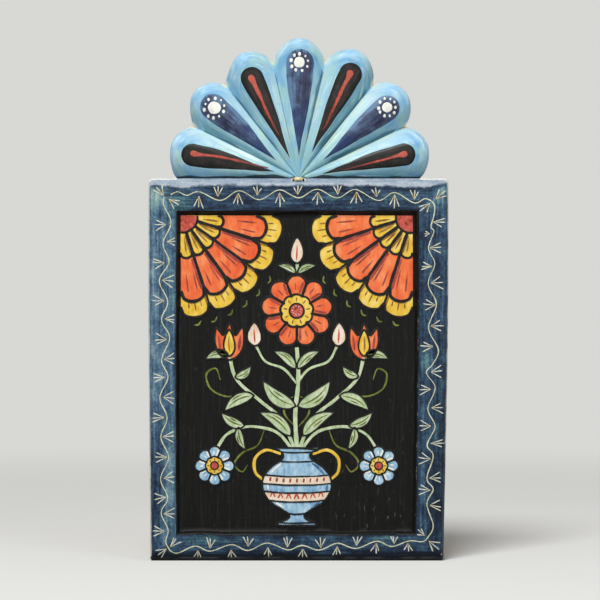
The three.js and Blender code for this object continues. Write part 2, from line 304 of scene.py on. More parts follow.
def indigo_board_paint():
    """Indigo paint over white gesso, satin varnished: a mottled dark blue, greener where it is thin, with
    strokes that follow each border, a top bevel painted pale, partly thin chalky paint and partly painted
    highlight, a foot bevel painted nearly black as painted shade, a black picture field with a few painted
    glints low down, gesso where the arrises are rubbed through, and a painted highlight on the field's right
    arris."""
    material, tree = new_material("indigo_paint_on_gesso")
    place = add(tree, "TexCoord", out="Object")
    marks = {}
    for name, size, detail, roughness in (
        ("upright", (1.3, 3, 24), 4, 0.62),
        ("level", (24, 3, 1.3), 4, 0.62),
        ("cloud", (10, 10, 10), 4, 0.62),
        ("blotch", (5, 5, 5), 4, 0.7),
        ("speck", (1.3, 1.3, 1.3), 3, 0.6),
        ("waver", (5, 5, 5), 2, 0.5),
        ("dry_brush", (0.9, 3, 22), 4, 0.65),
        ("glint_noise", (1.5, 6, 4.2), 3, 0.5),
        ("chip", (1.4, 1.4, 6), 4, 0.7),
    ):
        scaled = add(tree, "Mapping", {"Vector": place, "Scale": grains(*size)})
        values = {"Vector": scaled, "Scale": 1.0, "Detail": detail, "Roughness": roughness}
        marks[name] = add(tree, "TexNoise", values)
    where = {name: add(tree, "Attribute", out="Fac", attribute_name=name) for name in PANEL_PLACES}
    values = {"Factor": where["sideways"], "A": marks["upright"], "B": marks["level"]}
    streak = add(tree, "Mix", values, data_type="FLOAT")
    value = add(tree, "Mix", {"Factor": 0.42, "A": streak, "B": marks["cloud"]}, data_type="FLOAT")
    value = add(tree, "Mix", {"Factor": 0.25, "A": value, "B": marks["speck"]}, data_type="FLOAT")
    toned = add(tree, "Math", {"Value": value, "Value_001": where["paleness"]}, operation="ADD")
    indigo_stops = (
        (0.33, "#151d2b"),
        (0.41, "#213045"),
        (0.48, "#324a62"),
        (0.55, "#48667d"),
        (0.63, "#6c899b"),
        (0.76, "#a3b8c0"),
    )
    teal_stops = (
        (0.3, "#16242e"),
        (0.4, "#243f4c"),
        (0.48, "#3a5c68"),
        (0.56, "#557c84"),
        (0.66, "#7f9fa0"),
        (0.8, "#b3c6c0"),
    )
    indigo = add(tree, "ValToRGB", {"Fac": toned}, indigo_stops)
    teal = add(tree, "ValToRGB", {"Fac": toned}, teal_stops)
    border = coated(tree, indigo, teal, where["greening"], 0.7, 1.15, 1.0, marks["blotch"], 1.3)
    # The pale band on the top bevel is partly thin chalky paint and partly a painted highlight, where the
    # bevel faces the light above. It has a soft uneven edge, and is palest there
    edge = {"Value": marks["waver"], "Value_001": 0.3, "Value_002": where["top_bevel"]}
    edge = add(tree, "Math", edge, operation="MULTIPLY_ADD")
    chalk_and_highlight_stops = ((0.38, "#6f8297"), (0.46, "#8797a8"), (0.54, "#9da9b5"), (0.62, "#b9bec3"))
    chalk_and_highlight = add(tree, "ValToRGB", {"Fac": value}, chalk_and_highlight_stops)
    palest = {"Value": edge, "From Min": 0.86, "From Max": 0.7, "To Max": 1.0}
    thick = {"Value": marks["blotch"], "From Min": 0.4, "From Max": 0.6, "To Max": 0.6}
    palest = {"Value": add(tree, "MapRange", palest), "Value_001": add(tree, "MapRange", thick)}
    palest = add(tree, "Math", palest, operation="MULTIPLY")
    chalk_and_highlight = add(tree, "Mix", {"Factor": palest, "A": chalk_and_highlight, "B": paint("#ccd3da")})
    border = coated(tree, border, chalk_and_highlight, edge, 0.54, 0.77)
    # The foot's bevel is painted nearly black, as painted shade where it turns down away from the light,
    # with one thin grey line along it
    border = coated(tree, border, "#181c20", where["foot_bevel"], 0.5, 0.95, 0.9, marks["waver"], 0.5)
    border = add(tree, "Mix", {"Factor": where["foot_line"], "A": border, "B": paint("#7d8488")})
    # The field: near black, with faint upright brush marks, and low down a few greyish painted glints,
    # where the light would catch the varnish
    black_stops = ((0.42, "#0a0a0a"), (0.58, "#121211"), (0.7, "#232322"))
    black = add(tree, "ValToRGB", {"Fac": marks["dry_brush"]}, black_stops)
    painted_glints = add(tree, "MapRange", {"Value": marks["glint_noise"], "From Min": 0.62, "From Max": 0.76, "To Max": 0.9})
    painted_glints = add(tree, "Math", {"Value": painted_glints, "Value_001": where["low_field"]}, operation="MULTIPLY")
    black = add(tree, "Mix", {"Factor": painted_glints, "A": black, "B": paint("#575651")})
    painted = coated(tree, border, black, where["field"], 0.37, 0.53, 1.0, marks["waver"], 0.9)
    # Gesso where the arrises are rubbed through, and a painted highlight along the field's right arris
    gesso = coated(tree, painted, "#dcdcd4", where["worn"], 0.85, 1.1, 0.95, marks["chip"], 0.75)
    relief = add(tree, "Math", {"Value": streak, "Value_001": marks["dry_brush"]}, operation="ADD")
    surfaced(tree, gesso, (0.34, 0.5), relief, 0.06, BOARD_VARNISH_IOR, streak)
    return material


CREST_PLACES = ("fan_turn", "fan_reach", "rim_gap", "lee", "dark_groove", "pale_groove", "foot_line", "worn")


def sky_crest_paint():
    """Sky blue and turquoise over white gesso, satin varnished. Thin strokes of blue, white and green run
    along the lobes and round their ends. The lobes are bluest at the ends, with a whitish painted highlight
    on the sides towards the light, and dull teal down the sides that face away from it, partly teal paint
    and partly painted shade. Painted shade also lies in the grooves on that side, a painted shadow along
    the crest's foot, and a painted highlight on the rim where it faces the light."""
    material, tree = new_material("sky_blue_paint_on_gesso")
    where = {name: add(tree, "Attribute", out="Fac", attribute_name=name) for name in CREST_PLACES}
    fan = add(tree, "CombineXYZ", {"X": where["fan_turn"], "Y": where["fan_reach"], "Z": 0.0})
    ends = add(tree, "CombineXYZ", {"X": where["rim_gap"], "Y": where["fan_turn"], "Z": 0.0})
    at_end = add(tree, "MapRange", {"Value": where["rim_gap"], "From Min": 15, "From Max": 6, "To Max": 0.9})
    kinds = (("tone", 0.3), ("white", 0.75), ("blue", 0.42), ("green", 0.36))
    strokes = {}
    for seed, (name, fineness) in enumerate(kinds):
        runs = []
        for coords, scale in ((fan, (fineness, 0.045, 1)), (ends, (fineness * 0.8, 0.09, 1))):
            scaled = add(tree, "Mapping", {"Vector": coords, "Location": (0, 0, 7 * seed), "Scale": scale})
            values = {"Vector": scaled, "Scale": 1.0, "Detail": 4.0, "Roughness": 0.6}
            runs.append(add(tree, "TexNoise", values))
        values = {"Factor": at_end, "A": runs[0], "B": runs[1]}
        strokes[name] = add(tree, "Mix", values, data_type="FLOAT")
    place = add(tree, "TexCoord", out="Object")
    marks = {}
    for name, size, detail, roughness in (
        ("cloud", (12, 12, 12), 3, 0.55),
        ("drift", (8, 8, 8), 3, 0.6),
        ("chip", (2, 2, 2), 4, 0.7),
    ):
        scaled = add(tree, "Mapping", {"Vector": place, "Scale": grains(*size)})
        values = {"Vector": scaled, "Scale": 1.0, "Detail": detail, "Roughness": roughness}
        marks[name] = add(tree, "TexNoise", values)
    value = add(tree, "Mix", {"Factor": 0.25, "A": strokes["tone"], "B": marks["cloud"]}, data_type="FLOAT")
    # A paler band runs along the rim and a bluer one inside it
    pale_rim = {"Value": where["rim_gap"], "From Min": 7, "From Max": 1.5, "To Min": -0.03, "To Max": 0.06}
    rimmed = {"Value": value, "Value_001": add(tree, "MapRange", pale_rim)}
    rimmed = add(tree, "Math", rimmed, operation="ADD")
    tip_stops = ((0.34, "#5a9bc6"), (0.44, "#79b1d6"), (0.53, "#96c4de"), (0.64, "#bbdce9"))
    tip = add(tree, "ValToRGB", {"Fac": rimmed}, tip_stops)
    pale_stops = (
        (0.34, "#74a9bd"),
        (0.43, "#8ebfd0"),
        (0.51, "#a5d0da"),
        (0.59, "#bbdddf"),
        (0.68, "#d2e8da"),
    )
    pale = add(tree, "ValToRGB", {"Fac": value}, pale_stops)
    colour = coated(tree, pale, tip, where["fan_reach"], 54, 84, 1.0, marks["cloud"], 30.0)
    colour = coated(tree, colour, "#86b5bb", where["fan_reach"], 30, 9, 0.8)
    # The mixture on the brush drifts between turquoise and blue
    for low, high, drifted in ((0.52, 0.66, "#9fccc6"), (0.48, 0.34, "#7db6df")):
        colour = coated(tree, colour, drifted, marks["drift"], low, high, 0.55)
    # Painted highlight, whitish, on the sides towards the light; away from it teal, partly teal paint and
    # partly painted shade
    side = {"Value": strokes["tone"], "Value_001": 1.3, "Value_002": where["lee"]}
    side = add(tree, "Math", side, operation="MULTIPLY_ADD")
    colour = coated(tree, colour, "#dff1eb", side, 0.55, -0.25, 0.75)
    teal_and_shade_stops = ((0.36, "#3f7b95"), (0.5, "#6099b0"), (0.62, "#84b8c4"))
    teal_and_shade = add(tree, "ValToRGB", {"Fac": value}, teal_and_shade_stops)
    colour = coated(tree, colour, teal_and_shade, side, 0.75, 1.45, 0.95)
    colour = coated(tree, colour, "#2c5563", side, 1.6, 2.3, 0.6)
    # Single strokes over that
    for name, low, high, strength, stroke_paint in (
        ("blue", 0.53, 0.66, 0.5, "#6aa6cf"),
        ("green", 0.54, 0.68, 0.55, "#b5d6c0"),
        ("white", 0.55, 0.66, 0.4, "#e0f1f0"),
    ):
        colour = coated(tree, colour, stroke_paint, strokes[name], low, high, strength)
    # In the grooves: on the side away from the light, partly dark paint and partly painted shade, and a
    # yellowish cream on the other side
    for name, tint, strength in (("pale_groove", "#ccd6b2", 0.55), ("dark_groove", "#2f5f74", 0.75)):
        colour = coated(tree, colour, tint, where[name], 0.75, 1.25, strength, strokes["white"], 0.5)
    # A painted shadow, nearly black, along the crest's foot where it meets the panel
    colour = coated(tree, colour, "#16252b", where["foot_line"], 0.6, 1.0, 0.9, marks["chip"], 0.5)
    # Gesso on the rim and in the notches; the rim's line is also a painted highlight where it faces the light
    gesso = coated(tree, colour, "#e0e2d0", where["worn"], 0.8, 1.1, 0.85, marks["chip"], 0.75)
    surfaced(tree, gesso, (0.34, 0.5), strokes["white"], 0.08, VARNISH_IOR, value)
    return material


def drop_paint(name, stops, rim_tone, lower_tone, tip_paint):
    """Dark tempera on a carved lobe: strokes along the drop, a rim where the paint is thinner or thicker, a
    lower side, away from the light, toned by lower_tone, which on the navy drops is painted shade with a
    painted highlight on the upper side, and another colour in the mixture towards the tip."""
    material, tree = new_material(name)
    places = ("fan_turn", "fan_reach", "edge", "lower")
    where = {name: add(tree, "Attribute", out="Fac", attribute_name=name) for name in places}
    fan = add(tree, "CombineXYZ", {"X": where["fan_turn"], "Y": where["fan_reach"], "Z": 0.0})
    scaled = add(tree, "Mapping", {"Vector": fan, "Scale": (0.8, 0.08, 1)})
    streak = add(tree, "TexNoise", {"Vector": scaled, "Scale": 1.0, "Detail": 4.0, "Roughness": 0.6})
    place = add(tree, "TexCoord", out="Object")
    scaled = add(tree, "Mapping", {"Vector": place, "Scale": grains(6, 6, 6)})
    cloud = add(tree, "TexNoise", {"Vector": scaled, "Scale": 1.0, "Detail": 3.0, "Roughness": 0.6})
    value = add(tree, "Mix", {"Factor": 0.5, "A": streak, "B": cloud}, data_type="FLOAT")
    rim = {"Value": where["edge"], "From Min": 0.45, "From Max": 0.95, "To Max": rim_tone}
    toned = add(tree, "Math", {"Value": value, "Value_001": add(tree, "MapRange", rim)}, operation="ADD")
    # The lower side, away from the light, is toned by lower_tone: painted shade on the navy drops
    lower = {"Value": where["lower"], "Value_001": lower_tone, "Value_002": toned}
    toned = add(tree, "Math", lower, operation="MULTIPLY_ADD")
    colour = add(tree, "ValToRGB", {"Fac": toned}, stops)
    colour = coated(tree, colour, tip_paint, where["fan_reach"], 66, 46, 0.7, cloud, 40.0)
    surfaced(tree, colour, (0.36, 0.52), streak, 0.04, VARNISH_IOR, streak)
    return material


def lace_leather():
    """Vegetable-tanned leather lace: cream, with a 0.4 mm grain, soft darker patches and a dull surface."""
    material, tree = new_material("vegetable_tanned_leather")
    place = add(tree, "TexCoord", out="Object")
    pores = add(tree, "Mapping", {"Vector": place, "Scale": grains(0.4, 0.4, 0.4)})
    grain = add(tree, "TexVoronoi", {"Vector": pores, "Scale": 1.0})
    scaled = add(tree, "Mapping", {"Vector": place, "Scale": grains(3, 3, 3)})
    cloud = add(tree, "TexNoise", {"Vector": scaled, "Scale": 1.0, "Detail": 3.0})
    stops = ((0.3, "#d2bf88"), (0.5, "#ebdeac"), (0.7, "#f8f2d0"))
    hide = add(tree, "ValToRGB", {"Fac": cloud}, stops)
    surfaced(tree, hide, 0.6, grain, 0.05)
    return material


def beech():
    """Beech dowel rod: pale pinkish brown with short dark flecks along the grain, smooth and dull."""
    material, tree = new_material("beech_dowel_rod")
    place = add(tree, "TexCoord", out="Object")
    along = add(tree, "Mapping", {"Vector": place, "Scale": grains(0.5, 0.5, 4)})
    fleck = add(tree, "TexNoise", {"Vector": along, "Scale": 1.0, "Detail": 3.0, "Roughness": 0.6})
    stops = ((0.32, "#a67a4d"), (0.5, "#c99f6c"), (0.7, "#d8b485"))
    wood = add(tree, "ValToRGB", {"Fac": fleck}, stops)
    surfaced(tree, wood, 0.65, fleck, 0.08)
    return material


# Paints, from the darkest to the lightest place in each
BLACK_STOPS = ((0.38, "#0b0b0b"), (0.55, "#161615"), (0.7, "#2a2a2a"))
DROP_BLACK_STOPS = ((0.36, "#111311"), (0.48, "#22231f"), (0.56, "#33292a"), (0.66, "#40383a"))
NAVY_STOPS = ((0.36, "#222640"), (0.45, "#353a55"), (0.54, "#43526f"), (0.66, "#5f7d9e"))
NAVY_WASH_STOPS = ((0.34, "#33507a"), (0.5, "#4a6d97"), (0.66, "#6f93b8"))
RED_STOPS = ((0.36, "#6d2a22"), (0.43, "#ad4636"), (0.53, "#c9574a"), (0.66, "#dc7462"))
WHITE_STOPS = ((0.3, "#e4e4d8"), (0.5, "#f2f3ea"), (0.7, "#f7f8f2"))
CREAM_STOPS = ((0.34, "#9ca488"), (0.44, "#c2c5a4"), (0.54, "#dadaba"), (0.68, "#ebead6"))
SPRIG_STOPS = ((0.34, "#b0b09a"), (0.46, "#cfcfb8"), (0.58, "#e2e1cf"), (0.7, "#efefe4"))
OCHRE_STOPS = ((0.34, "#9c8b5e"), (0.5, "#c0ac7b"), (0.66, "#d8c99d"))
ORANGE_STOPS = ((0.34, "#e2592f"), (0.44, "#ee6a3a"), (0.54, "#f57d49"), (0.66, "#fb9a66"))
SHADE_STOPS = ((0.34, "#7a3535"), (0.5, "#9c453f"), (0.66, "#bd5743"))
YELLOW_STOPS = ((0.34, "#d9a62e"), (0.44, "#e8bd3c"), (0.55, "#f2cd55"), (0.68, "#f8df8c"))
BROWN_STOPS = ((0.34, "#765022"), (0.5, "#94682c"), (0.66, "#b5863f"))
GREEN_STOPS = ((0.34, "#9fb58a"), (0.45, "#b7ca9d"), (0.56, "#cadab2"), (0.7, "#dde8ca"))
OLIVE_STOPS = ((0.34, "#4c561e"), (0.5, "#69752e"), (0.66, "#8a934b"))
PALE_BLUE_STOPS = ((0.34, "#6f9bc0"), (0.45, "#8fb9d6"), (0.56, "#accfe3"), (0.7, "#cfe4ee"))
WARM_CREAM_STOPS = ((0.34, "#e0c2a0"), (0.45, "#edd5b9"), (0.56, "#f4e3cd"), (0.7, "#f9f0e1"))


ARRIS_ANGLE = math.radians(38)  # an edge that turns by more than this shows as an arris


def mesh_of(name, bm, unit=MM):
    """Makes a mesh in metres of a bmesh, whose numbers are in a unit, and frees it."""
    mesh = bpy.data.meshes.new(name)
    bm.to_mesh(mesh)
    bm.free()
    mesh.transform(Matrix.Scale(unit, 4))
    return mesh


def shade_between_arrises(mesh):
    mesh.shade_smooth()
    mesh.set_sharp_from_angle(angle=ARRIS_ANGLE)


def finish_piece(name, bm, materials, slot, replaced=()):
    """Makes a piece of a bmesh in millimetres. It sits at the origin, with its place in its mesh."""
    mesh = mesh_of(name, bm)
    for material in materials:
        mesh.materials.append(material)
    shade_between_arrises(mesh)
    piece = new_object(name, mesh)
    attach(piece, "root")
    if replaced:
        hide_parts(*replaced)
    return piece


def give_attributes(piece, **functions):
    """Writes what each function of x, y and z, in millimetres, gives to the points of a piece."""
    for name, value_at in functions.items():
        layer = piece.data.attributes.new(name, "FLOAT", "POINT")
        layer.data.foreach_set("value", [value_at(*(v.co / MM)) for v in piece.data.vertices])


STRIP_SIDES = 12
STRIP_EASE = 0.35  # 0.5 would be an oval, and less comes nearer to square edges


def swept(bm, path, towards, width, thickness):
    """A flat strip with eased edges along a path. towards gives the direction of its width at each point."""
    rings = []
    for i, place in enumerate(path):
        ahead = (path[min(i + 1, len(path) - 1)] - path[max(i - 1, 0)]).normalized()
        across = towards[i] - ahead * ahead.dot(towards[i])
        across.normalize()
        up = ahead.cross(across)
        turn = Matrix((across, up, ahead)).transposed()
        ring = bmesh.ops.create_circle(bm, cap_ends=False, segments=STRIP_SIDES, radius=1)["verts"]
        for v in ring:
            # A circle squared towards a flat strip
            x, y = v.co.x, v.co.y
            square = (abs(x) ** (1 / STRIP_EASE) + abs(y) ** (1 / STRIP_EASE)) ** STRIP_EASE
            v.co = place + turn @ Vector((x / square * width / 2, y / square * thickness / 2, 0))
        rings.append([bm.edges.get((ring[k - 1], ring[k])) for k in range(STRIP_SIDES)])
    for low, high in zip(rings, rings[1:]):
        bmesh.ops.bridge_loops(bm, edges=low + high)
    for end in (rings[0], rings[-1]):
        bmesh.ops.contextual_create(bm, geom=end)


# The leather lace. Its free runs repeat the CAD route: inwards, behind the back face, and down.
LACE_ROUTE = (
    (0.0, 0.3, 0.0),
    (0.0, 1.6, 0.0),
    (0.0, 3.7, 0.6),
    (-0.1, 5.2, 2.2),
    (-0.3, 5.8, 4.4),
    (-0.8, 5.8, 8.0),
    (-1.6, 5.3, 13.0),
    (-2.5, 4.5, 19.0),
    (-3.2, 3.6, 26.0),
    (-3.3, 2.8, 33.0),
    (-2.7, 2.3, 40.0),
    (-1.5, 2.2, 46.5),
    (-0.2, 2.6, 52.5),
    (0.7, 3.2, 57.5),
)
LACE_FOLD = 0.5  # inside the folds of the stitch
STITCH_PULL = 0.85  # pulled tight, the stitch lies against the inner sides of its holes
STITCH_WIDTH = 1.65  # and is drawn narrower
STITCH_BACK = -8.42  # the back of the stitch's bar, just in front of the top bevel
KNOT_Y = BACK + FIT + 2.8
KNOT_Z = LACE_Z - 57.5 - FIT - 3.8
KNOT_HEIGHT = 7.6
KNOT_STRAND_WIDTH = 1.5  # drawn narrower in the knot
STRAND_APART = Vector((0.45, 0.25, 0.3))  # from the knot's middle line to each of its two strands
TAIL_LENGTH = 9
TAIL_SPREAD = 6.8

leather = lace_leather()


def lace_run(side):
    """A run leaves its hole on edge, and turns flat to the board as it hangs."""
    route = [
        Vector((side * (LACE_HOLE_SPACING / 2 - inwards), BACK + behind, LACE_Z - down))
        for inwards, behind, down in LACE_ROUTE
    ]
    path = smooth_path(route, 5)
    turned = [ramp_between(LACE_Z - p.z, 0.5, 14) for p in path]
    towards = [Vector((side * t, 0, 1 - t + 0.001)) for t in turned]
    bm = bmesh.new()
    swept(bm, path, towards, LACE_WIDTH, LACE_THICKNESS)
    bmesh.ops.recalc_face_normals(bm, faces=bm.faces)
    name = "left" if side < 0 else "right"
    return finish_piece(f"lace_run_{name}", bm, [leather], "lace_leather", [f"lace_loop_{name}"]), path


def lace_knot():
    """An overhand knot in both runs at once, and the two tails below it."""
    # One turn of the knot as seen from behind: across, out from the board, up
    turn = (
        (0.0, 0.2, 4.6),
        (-0.9, 0.9, 3.0),
        (-1.5, 1.5, 1.0),
        (-0.6, 1.7, -1.2),
        (1.2, 1.2, -2.4),
        (2.7, 0.2, -1.7),
        (3.1, -0.8, 0.2),
        (2.0, -1.4, 1.9),
        (-0.2, -1.5, 2.4),
        (-2.2, -1.0, 1.8),
        (-3.1, 0.0, 0.2),
        (-2.5, 0.9, -1.4),
        (-1.0, 0.4, -2.6),
        (0.0, -0.4, -3.7),
    )
    middle = Vector((0, KNOT_Y, KNOT_Z))
    bm = bmesh.new()
    for side in (-1, 1):
        strand = [middle + Vector(p) + STRAND_APART * side for p in turn]
        path = smooth_path(strand, 5)
        towards = [Vector((p.z - middle.z, 0.4, -(p.x - middle.x) + 0.01)) for p in path]
        swept(bm, path, towards, KNOT_STRAND_WIDTH, LACE_THICKNESS)
        low = KNOT_Z - KNOT_HEIGHT / 2
        out = side * TAIL_SPREAD / 2
        tail = [
            (0.25 * out, KNOT_Y - 0.4, low + 1.2),
            (0.6 * out, KNOT_Y - 0.2, low - 1.5),
            (0.85 * out, KNOT_Y + 0.1, low - 5),
            (out, KNOT_Y, low - TAIL_LENGTH + 0.3),
        ]
        path = smooth_path(tail, 6)
        towards = [Vector((1, side * 0.35 * i / len(path), 0)) for i in range(len(path))]
        swept(bm, path, towards, LACE_WIDTH, LACE_THICKNESS)
    bmesh.ops.recalc_face_normals(bm, faces=bm.faces)
    return finish_piece("knotted_ends", bm, [leather], "lace_leather", ["lace_knot"])


def lace_stitch():
    """The part seen from the front: a flat bar over the seam, folded into its two holes."""
    hole = LACE_HOLE_SPACING / 2
    legs = hole - STITCH_PULL
    bar = STITCH_BACK - LACE_THICKNESS / 2
    fold = LACE_FOLD + LACE_THICKNESS / 2
    turns = [math.pi / 2 * k / 6 for k in range(7)]
    corner = [(legs - fold * (1 - math.cos(a)), bar + fold * (1 - math.sin(a))) for a in turns]
    half = [(hole, BACK - 0.02), (hole, 4), (mix(hole, legs, 0.6), -2)] + corner + [(0.0, bar - 0.04)]
    outline = [(-x, y) for x, y in half] + [(x, y) for x, y in reversed(half[:-1])]
    path = [Vector((x, y, LACE_Z)) for x, y in outline]
    bm = bmesh.new()
    swept(bm, path, [Vector((0, 0, 1))] * len(path), STITCH_WIDTH, LACE_THICKNESS)
    bmesh.ops.recalc_face_normals(bm, faces=bm.faces)
    return finish_piece("leather_stitch", bm, [leather], "lace_leather", ["lace_stitch"])


knot = lace_knot()
lace_stitch()
for side in (-1, 1):
    run, path = lace_run(side)
    [p * MM for p in path]


DRILL_LENGTH = 24  # more than the boards are thick


def bored(piece):
    """Cuts the lace holes and the dowel holes out of a board."""
    bm = bmesh.new()
    for side in (-1, 1):
        lace_hole = Matrix.Translation(Vector((side * LACE_HOLE_SPACING / 2, 0, LACE_Z)))
        lace_hole = lace_hole @ Matrix.Rotation(math.pi / 2, 4, "X")
        dowel_y = BACK - DOWEL_FROM_BACK
        dowel_hole = Matrix.Translation(Vector((side * DOWEL_SPREAD / 2, dowel_y, PANEL_HEIGHT)))
        for place, radius, depth in (
            (lace_hole, LACE_HOLE_RADIUS, DRILL_LENGTH),
            (dowel_hole, DOWEL_RADIUS + FIT, DOWEL_LENGTH + 2 * FIT),
        ):
            shape = {"cap_ends": True, "segments": 24, "radius1": radius, "radius2": radius, "depth": depth}
            bmesh.ops.create_cone(bm, **shape, matrix=place)
    bits = new_object("drill_bits", mesh_of("drill_bits", bm))
    cut = piece.modifiers.new("bore", "BOOLEAN")
    cut.object = bits
    cut.solver = "EXACT"
    whole = piece.data
    result = bpy.data.meshes.new_from_object(piece.evaluated_get(bpy.context.evaluated_depsgraph_get()))
    piece.modifiers.clear()
    piece.data = result
    bpy.data.meshes.remove(whole)
    bpy.data.objects.remove(bits)
    shade_between_arrises(result)
    return piece


def surface_of(piece):
    """The board's front, to lay paint on: a function from x and z to y, in millimetres."""
    bm = bmesh.new()
    bm.from_mesh(piece.data)
    tree = BVHTree.FromBMesh(bm)
    bm.free()

    def front(x, z):
        hit = tree.ray_cast(Vector((x * MM, -0.1, z * MM)), Vector((0, 1, 0)))[0]
        return hit.y / MM if hit else FRONT

    return front


def carried_back(bm, edge, new_y):
    """Extrudes an open edge to where a function of y puts its points. Returns the new open edge."""
    made = bmesh.ops.extrude_edge_only(bm, edges=edge)["geom"]
    for v in made:
        if isinstance(v, bmesh.types.BMVert):
            v.co.y = new_y(v.co.y)
    return [e for e in made if isinstance(e, bmesh.types.BMEdge) and e.is_boundary]


ARRIS_LIP = 0.8  # from the arris to the first ring behind it


def closed_back(bm):
    """Carries a carved front's edge back to the flat back, with a first ring just behind the arris."""
    edge = [e for e in bm.edges if e.is_boundary]
    for new_y in (lambda y: y + ARRIS_LIP, lambda y: BACK):
        edge = carried_back(bm, edge, new_y)
    back = bmesh.ops.contextual_create(bm, geom=edge)["faces"]
    bmesh.ops.recalc_face_normals(bm, faces=bm.faces)
    for face in back:
        face.material_index = 1


# The panel. A grid's lines are moved onto the places that matter across and up the board.
def outline_x(side, z):
    """The board's side edge. It bulges by less than a millimetre, more on the right."""
    up = z / PANEL_HEIGHT
    bulge = (0.9 if side > 0 else 0.5) * math.sin(math.pi * clamp(up) ** 1.3)
    return PANEL_FOOT_SHIFT * (1 - up) + side * (mix(PANEL_FOOT_WIDTH, PANEL_TOP_WIDTH, up) / 2 + bulge)


def field_x(side, z):
    border = LEFT_BORDER if side < 0 else RIGHT_BORDER
    return outline_x(side, z) - side * mix(*border, z / PANEL_HEIGHT)


SWAY_SCALE = 1.6  # sway seldom passes 0.6, and this brings it to about 1


def carved(nominal, along, seed, by, grain=18.0):
    """A line of carving that wanders by so many millimetres."""
    return nominal + by * SWAY_SCALE * sway(along, seed, grain)


def across_lines(z):
    """The places across the board at one height: outline, bevel, field's edge and field's foot, on both
    sides."""
    left, right = outline_x(-1, z), outline_x(1, z)
    field_left, field_right = (carved(field_x(side, z), z, 5 + side, 0.22) for side in (-1, 1))
    return (
        left,
        carved(left + SIDE_BEVEL, z, 1, 0.3),
        field_left,
        field_left + FIELD_WALL,
        field_right - FIELD_WALL,
        field_right,
        carved(right - SIDE_BEVEL, z, 2, 0.3),
        right,
    )


def top_bevel_z(x):
    """The lower edge of the top bevel, cut freehand: lower in the left corner and towards the right one."""
    left_dip = 1.3 * math.exp(-(((x + 62) / 6) ** 2))
    right_dip = 0.8 * math.exp(-(((x - 61) / 12) ** 2))
    return carved(PANEL_HEIGHT - TOP_BEVEL, x, 4, 0.25, 11) - left_dip - right_dip


def upward_lines(x):
    foot = carved(FOOT_BORDER, x, 8, 0.4)
    top = carved(PANEL_HEIGHT - TOP_BORDER, x, 9, 0.2)
    return (
        0,
        carved(FOOT_BEVEL, x, 3, 0.5),
        foot,
        foot + FIELD_WALL,
        top - FIELD_WALL,
        top,
        top_bevel_z(x),
        PANEL_HEIGHT,
    )


# The two lines that are the field's edges, among a grid's eight lines
FIRST_EDGE = 2
LAST_EDGE = 5
# The spans between those lines: bevel, border, wall, field, wall, border, bevel
ACROSS_STEPS = (7, 12, 7, 64, 7, 12, 7)
UPWARD_STEPS = (8, 10, 7, 86, 7, 12, 8)
BEVEL_SPANS = (0, 6)
WALL_SPANS = (2, 4)
FIELD_SPAN = 3


def spread(steps):
    """For each grid line, the span that it lies in and how far along it lies."""
    lines = [(span, k / count) for span, count in enumerate(steps) for k in range(count)]
    return [*lines, (len(steps) - 1, 1.0)]


def bevel_share(span, share):
    """0 at the board's outline, 1 from the bevel's inner edge on."""
    first, last = BEVEL_SPANS
    return {first: share, last: 1 - share}.get(span, 1.0)


def wall_share(span, share):
    """0 outside the field, 1 from the foot of its wall on."""
    first, last = WALL_SPANS
    return {first: share, FIELD_SPAN: 1.0, last: 1 - share}.get(span, 0.0)


def corner_radius(z):
    return PANEL_CORNER_RADIUS if z < PANEL_HEIGHT / 2 else WORN_CORNER_RADIUS


def outline_gap(x, z):
    """How far inside the panel's outline a place lies, with its rounded corners."""
    beside = min(x - outline_x(-1, z), outline_x(1, z) - x)
    above = min(z, PANEL_HEIGHT - z)
    radius = corner_radius(z)
    if beside < radius and above < radius:
        return radius - math.hypot(radius - beside, radius - above)
    return min(beside, above)


# Roughly how high the lines that run across the board are
LEVEL_LINES = (
    0,
    FOOT_BEVEL,
    FOOT_BORDER,
    FOOT_BORDER,
    PANEL_HEIGHT - TOP_BORDER,
    PANEL_HEIGHT - TOP_BORDER,
    PANEL_HEIGHT - TOP_BEVEL,
    PANEL_HEIGHT,
)
FACE_WAVE = 0.09
TOOL_MARK = 0.05


